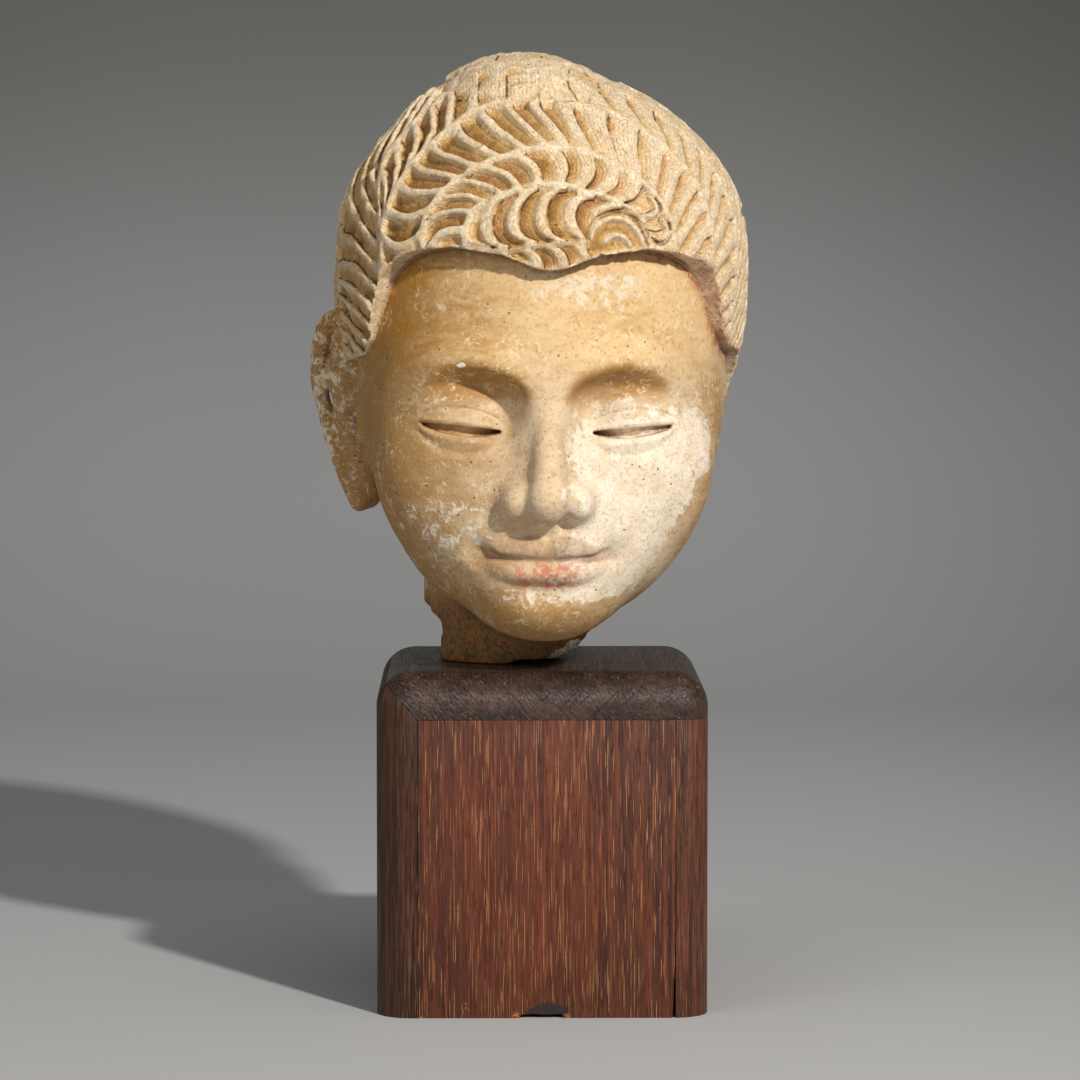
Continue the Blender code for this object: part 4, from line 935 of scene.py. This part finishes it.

    # the stump darker brown, the fresh break, the tinted lips, the red line at the hair, dirt and a chip
    stump_brown = s.mix(s.noise(9, 4, 0.6, (2, 2, 8)).ramp(0.40, 0.62), (132, 102, 62), (152, 104, 58))
    stump_brown = s.mix(fine.ramp(0.42, 0.66, 0, 0.75), stump_brown, (84, 56, 32))
    crumb = s.mix(s.noise(1.3, 4, 0.7, (2, 7, 5)).ramp(0.40, 0.58), (250, 244, 230), (190, 160, 122))
    fresh = (s.mark("fresh") + s.noise(2.2, 4, 0.7, (3, 3, 7)).swing(0.9)).ramp(0.35, 0.5)
    pit = s.cells(3.4, (3, 1, 4)).ramp(0.09, 0.15, 1, 0) * s.noise(9, 2, offset=(8, 8, 1)).ramp(0.52, 0.60)
    colour = s.layers(
        s.mix(on_hair, face_colour, hair_colour),
        (s.mark("stump") * middle.ramp(0.26, 0.44, 0.75, 1), stump_brown),
        (fresh, crumb),
        (s.mark("lips") * s.noise(3.4, 4, 0.7, (4, 1, 6)).ramp(0.44, 0.58, 0, 0.85), (196, 108, 86)),
        (s.mark("smudge") * middle.ramp(0.35, 0.6, 0.4, 0.9), (128, 84, 58)),
        (s.mark("red") * s.noise(3.5, 4, 0.7, (9, 2, 6)).ramp(0.36, 0.56, 0.1, 0.9), (142, 66, 42)),
        (pit * 0.7, (84, 58, 38)),
        (grain.ramp(0.60, 0.74, 0, 0.4), (124, 92, 60)),
        ((s.mark("chip") * (s.noise(1.4, 4, 0.7) + 0.3)).ramp(0.34, 0.42), (240, 234, 222)))

    flaked = s.noise(1.7, 6, 0.72, (3, 8, 8), 0.6).ramp(0.44, 0.56)
    carved = (combed * 0.05 + shadow_groove * -0.45 + scratch * -0.12) * open_hair
    height = fine * 0.34 + grain * 0.10 + kept * on_hair.rest() * 0.10 + pit * -0.25
    height = height + (carved + middle * 0.5 + flaked * 0.16) * on_hair
    return s.finish(colour, kept.ramp(0, 1, 0.92, 0.76), height)


def head_marks(p, normals):
    """Where the paint, the wear and the stains lie, for points p on the head."""
    x, y, z = p.T
    q, moved = mirrored(p), crown_shifted(p)
    bare = skull(p)
    front = on_face(p)
    bare[front] = face(p[front], bare[front])
    on_ear = (x < -58) & (z < 30)
    bare[on_ear] = np.minimum(bare[on_ear], ear(p[on_ear]))
    on_hair = smoothstep(bare - hair(p), 0.0, 0.6) * (z > -70)
    h, _, _, lock = relief(moved + hand_shake(moved))
    h = roughened(moved, h, ball(moved, TOPKNOT))
    above, ahead = over_hairline(p), y < 0
    h = h + (1 - h) * np.maximum(bump(above, -0.6, 1.8), smoothstep(-above, 0, 1))
    red = bump(above, -1.7, 1.2) * (0.25 + 0.75 * smoothstep(x, -10, 35))
    red = np.maximum(red, bump(above, -1.8, 2.6) * smoothstep(x, 46, 58)) * ahead
    # The coat is worn off the right cheek, and thin in patches.
    right_edge = 64 + 0.56 * np.minimum(z + 30, 0)
    bared = smoothstep(x, -6, 20) * smoothstep(-z, -4, 24) * smoothstep(right_edge - x, -5, 14)
    coat = 0.95 - 0.80 * bared * smoothstep(z, -82, -71)
    coat = coat - 0.36 * bump(x, -32, 24) * bump(z, -52, 24)
    coat = coat - 0.52 * bump(x, 14, 34) * bump(z, 32, 8) * ahead
    coat = coat - 0.40 * bump(x, 4, 26) * bump(z, -77, 5)
    coat = coat - 0.35 * smoothstep(y, -30, 20) - 0.12 * smoothstep(-x, 62, 70)
    # How deep the ochre is: deeper on the left forehead and in the brow hollows as painted; deepened on the
    # chin, the jaw, the far left side and the lower left face as painted shade.
    tone_and_shade = 0.24 + 0.45 * smoothstep(-x, 0, 40) * smoothstep(z, -20, 20)
    tone_and_shade = tone_and_shade + 0.6 * smoothstep(-ball(q, SOCKET), -5, 0) * smoothstep(z, -12, -4)
    tone_and_shade = tone_and_shade + 0.8 * bump(x, 0, 40) * bump(z, -90, 16)
    tone_and_shade = tone_and_shade + 0.45 * smoothstep(x, 40, 62) * smoothstep(-z, -8, 12)
    tone_and_shade = tone_and_shade + 0.35 * smoothstep(-x, 40, 60) + 0.45 * smoothstep(-x, 0, 40) * smoothstep(-z, -5, 25)
    wear = 0.8 * smoothstep(x, -15, 40) + 0.8 * smoothstep(z, 78, 104) + bump(x, -24, 14) * bump(z, 60, 9)
    shell = np.hypot((x - NECK_CENTRE[0]) / NECK_FLATNESS, y - NECK_CENTRE[1]) - NECK_RADIUS
    broken = smoothstep(-shell, 0.3, 1.2) * smoothstep(x, 1, 5) * smoothstep(-z, 90, 94)
    lower, upper = (1 - smoothstep(rope(q, curved(lip)), 0.0, 1.0) for lip in (LOWER_LIP, UPPER_LIP))
    return {
        "hair": on_hair, "ridge": h, "lock": lock, "plain": smoothstep(hair_map(moved)[2], 1.9, 2.2),
        # the hollow and crease marks tell where the stucco is painted darker as shade
        "cavity_shade": hemmed_in(p, normals, 2.6), "crease_shadow": hemmed_in(p, normals, 1.2),
        "lips": lower * (y < -60) * bump(x, 0, 17), "smudge": upper * (y < -60) * 0.6, "red": red,
        "coat": coat, "tone_and_shade": tone_and_shade, "wear": np.clip(wear, 0, 1),
        "stump": smoothstep(-z, 82, 92) * (1 - smoothstep(-y, 40, 60)),
        "fresh": broken * smoothstep(-y, 4, 12),
        "chip": bump(x, -31, 1.8) * bump(z, 4.5, 1.1) * ahead,
        "brow": np.maximum(smoothstep(z, -5, 12), smoothstep(-x, 48, 62)), "cheeks": smoothstep(-z, -14, 8),
    }


def hemmed_in(p, normals, reach):
    """How much stucco stands around a point within reach, from 0 in the open to 1."""
    return np.clip(1 - head(p + normals * reach) / reach, 0, 1)


def fine_head():
    """The head with its fine carving, thinned, marked for paint and kept inside the CAD solid's box."""
    points, quads = skin(head, HEAD_LOW, HEAD_HIGH, FINE_CELL)
    mesh = bpy.data.meshes.new("carved_head")
    mesh.from_pydata(points.tolist(), [], quads.tolist())
    made = linked("carved_head", mesh)
    thin = made.modifiers.new("thin", "DECIMATE")
    thin.ratio = min(1.0, FINE_TRIANGLES / (2 * len(quads)))
    thin.use_collapse_triangulate = True
    fine = settled(made)
    p, normals = (np.empty((len(fine.vertices), 3), F) for _ in range(2))
    fine.vertices.foreach_get("co", p.ravel())
    fine.vertices.foreach_get("normal", normals.ravel())
    for name, values in head_marks(p, normals).items():
        fine.attributes.new(name, "FLOAT", "POINT").data.foreach_set("value", np.asarray(values, F))
    placed = (p @ attitude().T) * MM + np.array([0, 0, HEAD_HEIGHT])
    low, high = (np.array(corner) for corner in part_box("stucco_head"))
    fine.vertices.foreach_set("co", np.clip(placed, low, high).astype(F).ravel())
    fine.shade_smooth()
    fine.update()
    fine.materials.append(painted_stucco())
    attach(made, "root")
    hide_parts("stucco_head")
    print("carved_head triangles", len(fine.polygons))


# ---------------------------------------------------------------- wood
def wood(name, dark, mid, light, streak, filled, turn=(0, 0, 0), around=False, rough=0.42, stretch=1.0,
         specular=0.3, extra=None):
    """Open-pored wood with filled pores; the grain runs along the turned z."""
    s = Surface(name, specular, turn)
    fibre = s.noise((0.30, 0.30 * stretch, 20), 4, 0.65)
    pores = s.fibres(around, 11, 5.0, 0.53, 0.60)
    line = s.fibres(around, 19, 2.0, 0.56, 0.66)
    line = line * s.noise((5, 5, 90), 2, 0.5, (9, 1, 0)).ramp(0.36, 0.56, 0.45, 1)
    line = line * s.noise(0.9, 2, 0.6, (4, 4, 1)).ramp(0.34, 0.50, 0.5, 1)
    pore_colour = tuple(0.35 * k for k in srgb(*dark)[:3]) + (1,)
    colour = s.layers(
        s.mix(s.noise((6, 6 * stretch, 170), 3, 0.6).ramp(0.36, 0.62), dark, mid),
        (s.noise((1.3, 1.3 * stretch, 60), 3, 0.6, (4, 4, 0)).ramp(0.46, 0.66, 0, 0.75), light),
        (fibre.ramp(0.46, 0.68, 0, 0.65), dark),
        (pores * 0.7, pore_colour),
        (line * filled, streak))
    height = pores * -0.10 + line * -0.05 + fibre * 0.14 + s.noise(16, 2) * 0.5
    if extra:
        colour, height = extra(s, colour, height)
    return s.finish(colour, fibre.ramp(0.3, 0.7, rough, rough + 0.16) + line * 0.15, height)


def bruised_foot(s, colour, height):
    """The chip at the front panel's foot: a dark bruise, and bright splinters beside it."""
    bruise = (s.spot((2, -60, 0), (12, 9, 8.5)) + s.noise(3, 4, 0.7).swing(1.4)).ramp(0.35, 0.6)
    bruise = bruise * s.spot((2, -60, 0), (15, 9, 11))
    raw = s.spot((-9.5, -60, 1), (2.6, 4, 2.4)) + s.spot((9.0, -60, 1), (2.2, 4, 1.6))
    raw = raw + s.spot((-28, -60, 4), (3.6, 4, 5.5)) * 0.8 + s.spot((-46, -60, 0), (8, 4, 1.4))
    raw = (raw * s.noise(1.0, 3, 0.7, (2, 2, 2))).ramp(0.40, 0.50)
    redder = s.spot((-8, -60, 58), (48, 30, 80)) * 0.22
    colour = s.layers(colour, (redder, (126, 62, 38)), (bruise * 0.9, (46, 42, 40)), (raw, (196, 116, 66)))
    return colour, height + raw * -0.3


def nicked_edge(s, colour, height):
    """Small pale nicks down the right board's outer edge."""
    raw = s.spot((60, -46, 17), (2.6, 2.6, 1.3))
    for y, z, size in ((-44, 49, 1.6), (-47, 61, 2.0), (-45, 94, 1.8)):
        raw = raw + s.spot((60, y, z), (size, size, 0.6 * size))
    raw = (raw * s.noise(1.0, 3, 0.7, (2, 2, 2))).ramp(0.36, 0.46)
    return s.mix(raw, colour, (190, 152, 122)), height


def end_grain(s, colour, height):
    """Slanting dashes of end grain on the top board's rounded front; the pale dashes' colour is partly a
    painted highlight.
    """
    tilted = s.turned((0, math.radians(45), 0))
    front = s.split(s.raw)[1].ramp(-0.0485, -0.0440, 1, 0)
    # the pale raised dashes are partly a painted highlight of the slanted relief
    dash_and_highlight = s.noise((0.20, 2.2, 2.4), 1, 0.5, (2, 0, 1), 0.3, tilted).ramp(0.56, 0.68)
    dim = s.noise((0.20, 2.2, 2.0), 1, 0.5, (7, 3, 1), 0.3, tilted).ramp(0.55, 0.66)
    base = s.mix(s.noise(9, 3).ramp(0.4, 0.6), (48, 32, 24), (70, 48, 37))
    facing = s.layers(base, (dash_and_highlight * 0.7, (132, 110, 92)), (dim * 0.8, (30, 21, 17)))
    return s.mix(front, colour, facing), height + (dash_and_highlight + dim * -1.5) * front * 0.20


# ---------------------------------------------------------------- boards
def linked(name, data):
    """An object of the scene that holds the mesh, light or camera."""
    made = bpy.data.objects.new(name, data)
    bpy.context.scene.collection.objects.link(made)
    return made


def settled(made):
    """The object's mesh with its modifiers worked into it."""
    mesh = bpy.data.meshes.new_from_object(made.evaluated_get(bpy.context.evaluated_depsgraph_get()))
    made.modifiers.clear()
    made.data = mesh
    return mesh


def mesh_of(name, points, faces):
    mesh = bpy.data.meshes.new(name)
    mesh.from_pydata(points, [], faces)
    bm = bmesh.new()
    bm.from_mesh(mesh)
    bmesh.ops.recalc_face_normals(bm, faces=bm.faces)
    bm.to_mesh(mesh)
    bm.free()
    return mesh


def ring(inset, z):
    """A rounded square, inset from the block's plan, at height z."""
    half, radius = BLOCK_WIDTH / 2 - inset, UPRIGHT_RADIUS - inset
    points = []
    for corner in range(4):
        for step in range(RING_STEPS + 1):
            angle = math.pi / 2 * (corner + step / RING_STEPS)
            cx = (half - radius) * (1 if corner in (0, 3) else -1)
            cy = (half - radius) * (1 if corner in (0, 1) else -1)
            points.append((cx + radius * math.cos(angle), cy + radius * math.sin(angle), z))
    return points


def envelope():
    """The block's outside: upright edges rounded, top edges rounded."""
    rings = [ring(0, 0)]
    for step in range(RING_STEPS + 1):
        angle = math.pi / 2 * step / RING_STEPS
        inset, drop = TOP_RADIUS * (1 - math.cos(angle)), TOP_RADIUS * (1 - math.sin(angle))
        rings.append(ring(inset, BLOCK_HEIGHT - drop))
    n, last = len(rings[0]), (len(rings) - 1) * len(rings[0])
    faces = [tuple(range(n)), tuple(range(last, last + n))]
    for k in range(0, last, n):
        faces += [(k + i, k + (i + 1) % n, k + n + (i + 1) % n, k + n + i) for i in range(n)]
    return mesh_of("outside", [p for one in rings for p in one], faces)


def rectangle(x0, z0, x1, z1):
    return [(x0, z0), (x1, z0), (x1, z1), (x0, z1)]


def prism(outline, low=-BLOCK_WIDTH, high=BLOCK_WIDTH, upright=False):
    """An outline extruded from low to high along Y, or along Z if upright, as a cutter."""
    points = [(a, b, k) if upright else (a, k, b) for k in (low, high) for a, b in outline]
    n = len(outline)
    faces = [tuple(range(n)), tuple(range(n, 2 * n))]
    faces += [(i, i + n, (i + 1) % n + n, (i + 1) % n) for i in range(n)]
    return linked("cutter", mesh_of("cutter", points, faces))


def board(name, node, surface, outside, shape, notch=None):
    """A board cut from the block's outside, its sharp edges eased, standing for its CAD node."""
    made = linked(name, outside.copy())
    for operation, cutter in (("INTERSECT", shape), ("DIFFERENCE", notch)):
        if cutter:
            step = made.modifiers.new("cut", "BOOLEAN")
            step.operation, step.solver, step.object = operation, "EXACT", cutter
    ease = made.modifiers.new("ease", "BEVEL")
    ease.width, ease.segments, ease.limit_method, ease.angle_limit = ARRIS, 2, "ANGLE", math.radians(35)
    mesh = settled(made)
    mesh.name = name
    mesh.materials.clear()
    mesh.materials.append(surface)
    mesh.shade_smooth()
    mesh.set_sharp_from_angle(angle=math.radians(40))
    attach(made, "root")
    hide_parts(node)


def fine_block():
    """The six boards, with close joints, eased edges and their woods."""
    front = wood("reddish brown wood", (60, 33, 24), (92, 50, 32), (124, 62, 38), (196, 144, 94), 0.9,
                 extra=bruised_foot)
    back = wood("plain reddish wood", (66, 38, 28), (92, 52, 36), (112, 62, 42), (150, 112, 80), 0.7)
    side = wood("brown side wood", (60, 34, 24), (90, 50, 34), (114, 62, 40), (160, 118, 80), 0.8,
                around=True, extra=nicked_edge)
    left_wood = wood("near-black side wood", (44, 24, 14), (70, 39, 24), (94, 52, 32), (146, 116, 88), 0.6,
                     around=True)
    top_wood = wood("near-black top wood", (38, 27, 21), (60, 44, 35), (86, 64, 51), (140, 120, 100), 0.6,
                    turn=(math.radians(90), 0, 0), around=True, rough=0.28, stretch=2.6, specular=0.55,
                    extra=end_grain)
    outside = envelope()
    half, gap, far = BLOCK_WIDTH / 2, JOINT / 2, BLOCK_WIDTH
    left, right = -half + LEFT_THICK, half - RIGHT_THICK
    under_top, inner = BLOCK_HEIGHT - TOP_THICK, half - PANEL_THICK
    below, above = under_top - gap, under_top + gap
    # the mitre between the left board and the top board, drawn well past the corner
    out = 2 * LEFT_THICK
    up = out * TOP_THICK / LEFT_THICK
    left_side = prism([(-far, -far), (left - gap, -far), (left - gap, below), (left - gap - out, below + up),
                       (-far, far)])
    top_side = prism([(left + gap, above), (far, above), (far, 2 * far), (left + gap - out, 2 * far),
                      (left + gap - out, above + up)])
    right_side = prism(rectangle(right + gap, -far, far, below))
    # the front panel, narrower at its right foot, where the joint gapes
    cracked = [(left + gap, -far), (left + gap, below), (right - gap, below), (right - gap, CRACK_HEIGHT),
               (right - gap - CRACK_WIDTH, 0), (right - gap - CRACK_WIDTH, -far)]
    cut_front = prism(cracked, -far, -inner - gap)
    chip = prism([(CHIP_WIDTH * a, CHIP_HEIGHT * b) for a, b in CHIP_EDGE], -far, CHIP_DEPTH - half)
    cut_back = prism(rectangle(left + gap, -far, right - gap, below), inner + gap, far)
    floor = rectangle(left + gap, gap - inner, right - gap, inner - gap)
    cut_floor = prism(floor, -far, PANEL_THICK, upright=True)
    board("top_board", "block_top", top_wood, outside, top_side)
    board("left_board", "block_left", left_wood, outside, left_side)
    board("right_board", "block_right", side, outside, right_side)
    board("front_panel", "block_front", front, outside, cut_front, chip)
    board("back_panel", "block_back", back, outside, cut_back)
    board("bottom_board", "block_bottom", left_wood, outside, cut_floor)
    for cutter in [o for o in bpy.data.objects if o.name.startswith("cutter")]:
        bpy.data.objects.remove(cutter, do_unlink=True)


# ---------------------------------------------------------------- floor, light and camera
def backdrop():
    """A pale studio sweep: floor, a wide curve and a wall, painted darker up the wall and towards the sides as
    painted shade.
    """
    front, start, curve, top, half = -2.6, 1.0, 1.2, 3.6, 3.5
    profile = [(front, 0.0), (start, 0.0)]
    for angle in np.linspace(0.06, math.pi / 2, 24):
        profile.append((start + curve * math.sin(angle), curve - curve * math.cos(angle)))
    profile.append((start + curve, top))
    n = len(profile)
    mesh = bpy.data.meshes.new("backdrop")
    mesh.from_pydata([(x, y, z) for x in (-half, half) for y, z in profile], [],
                     [(i, i + n, i + n + 1, i + 1) for i in range(n - 1)])
    mesh.shade_smooth()
    s = Surface("matt grey paper", 0.2)
    x, _, z = s.split(s.place)
    # painted shade: the paper darkens from the floor up the wall and towards both sides, standing in for the
    # lamps' falloff
    tone_and_shade = s.mix(z.ramp(0.06, 0.50), (178, 178, 178), (121, 121, 118))
    side_shade = x.ramp(0.10, 0.52, 0, 0.33) + x.ramp(-0.22, -0.6, 0, 0.14)
    mesh.materials.append(s.finish(s.mix(side_shade, tone_and_shade, (0, 0, 0)), 0.9, s.noise(1.2, 2) * 0.02))
    linked("backdrop", mesh)


def lamp(name, azimuth, elevation, distance, size, power, colour=(1, 1, 1)):
    """A round lamp that faces the head, placed by its angles from the front and its distance."""
    light = bpy.data.lights.new(name, "AREA")
    light.shape = "DISK"
    light.size, light.energy, light.color = size, power, colour
    made = linked(name, light)
    a, e = math.radians(azimuth), math.radians(elevation)
    back = Vector((math.sin(a) * math.cos(e), -math.cos(a) * math.cos(e), math.sin(e)))
    made.location = Vector((0, 0, LAMPS_AIM)) + back * distance
    made.rotation_euler = (-back).to_track_quat("-Z", "Y").to_euler()


def studio():
    world = bpy.data.worlds.new("studio")
    world.use_nodes = True
    sky = world.node_tree.nodes["Background"].inputs
    sky["Color"].default_value, sky["Strength"].default_value = (0.87, 0.93, 1.0, 1), 0.17
    bpy.context.scene.world = world
    lamp("key", 29, 29, 2.6, 0.13, 72, (1.0, 0.96, 0.90))
    lamp("fill", -42, 24, 2.4, 1.6, 11)
    lamp("top", 10, 78, 2.2, 1.2, 6)
    lens = bpy.data.cameras.new("camera")
    lens.sensor_width, lens.lens = 36, CAMERA_LENS
    lens.clip_start, lens.clip_end = 0.1, 30
    camera = linked("camera", lens)
    camera.location = CAMERA_PLACE
    camera.rotation_euler = (math.radians(90 - CAMERA_DIP), 0, -math.radians(CAMERA_TURN))
    bpy.context.scene.camera = camera
    bpy.context.scene.view_settings.view_transform = "Standard"


studio()
backdrop()
fine_head()
fine_block()
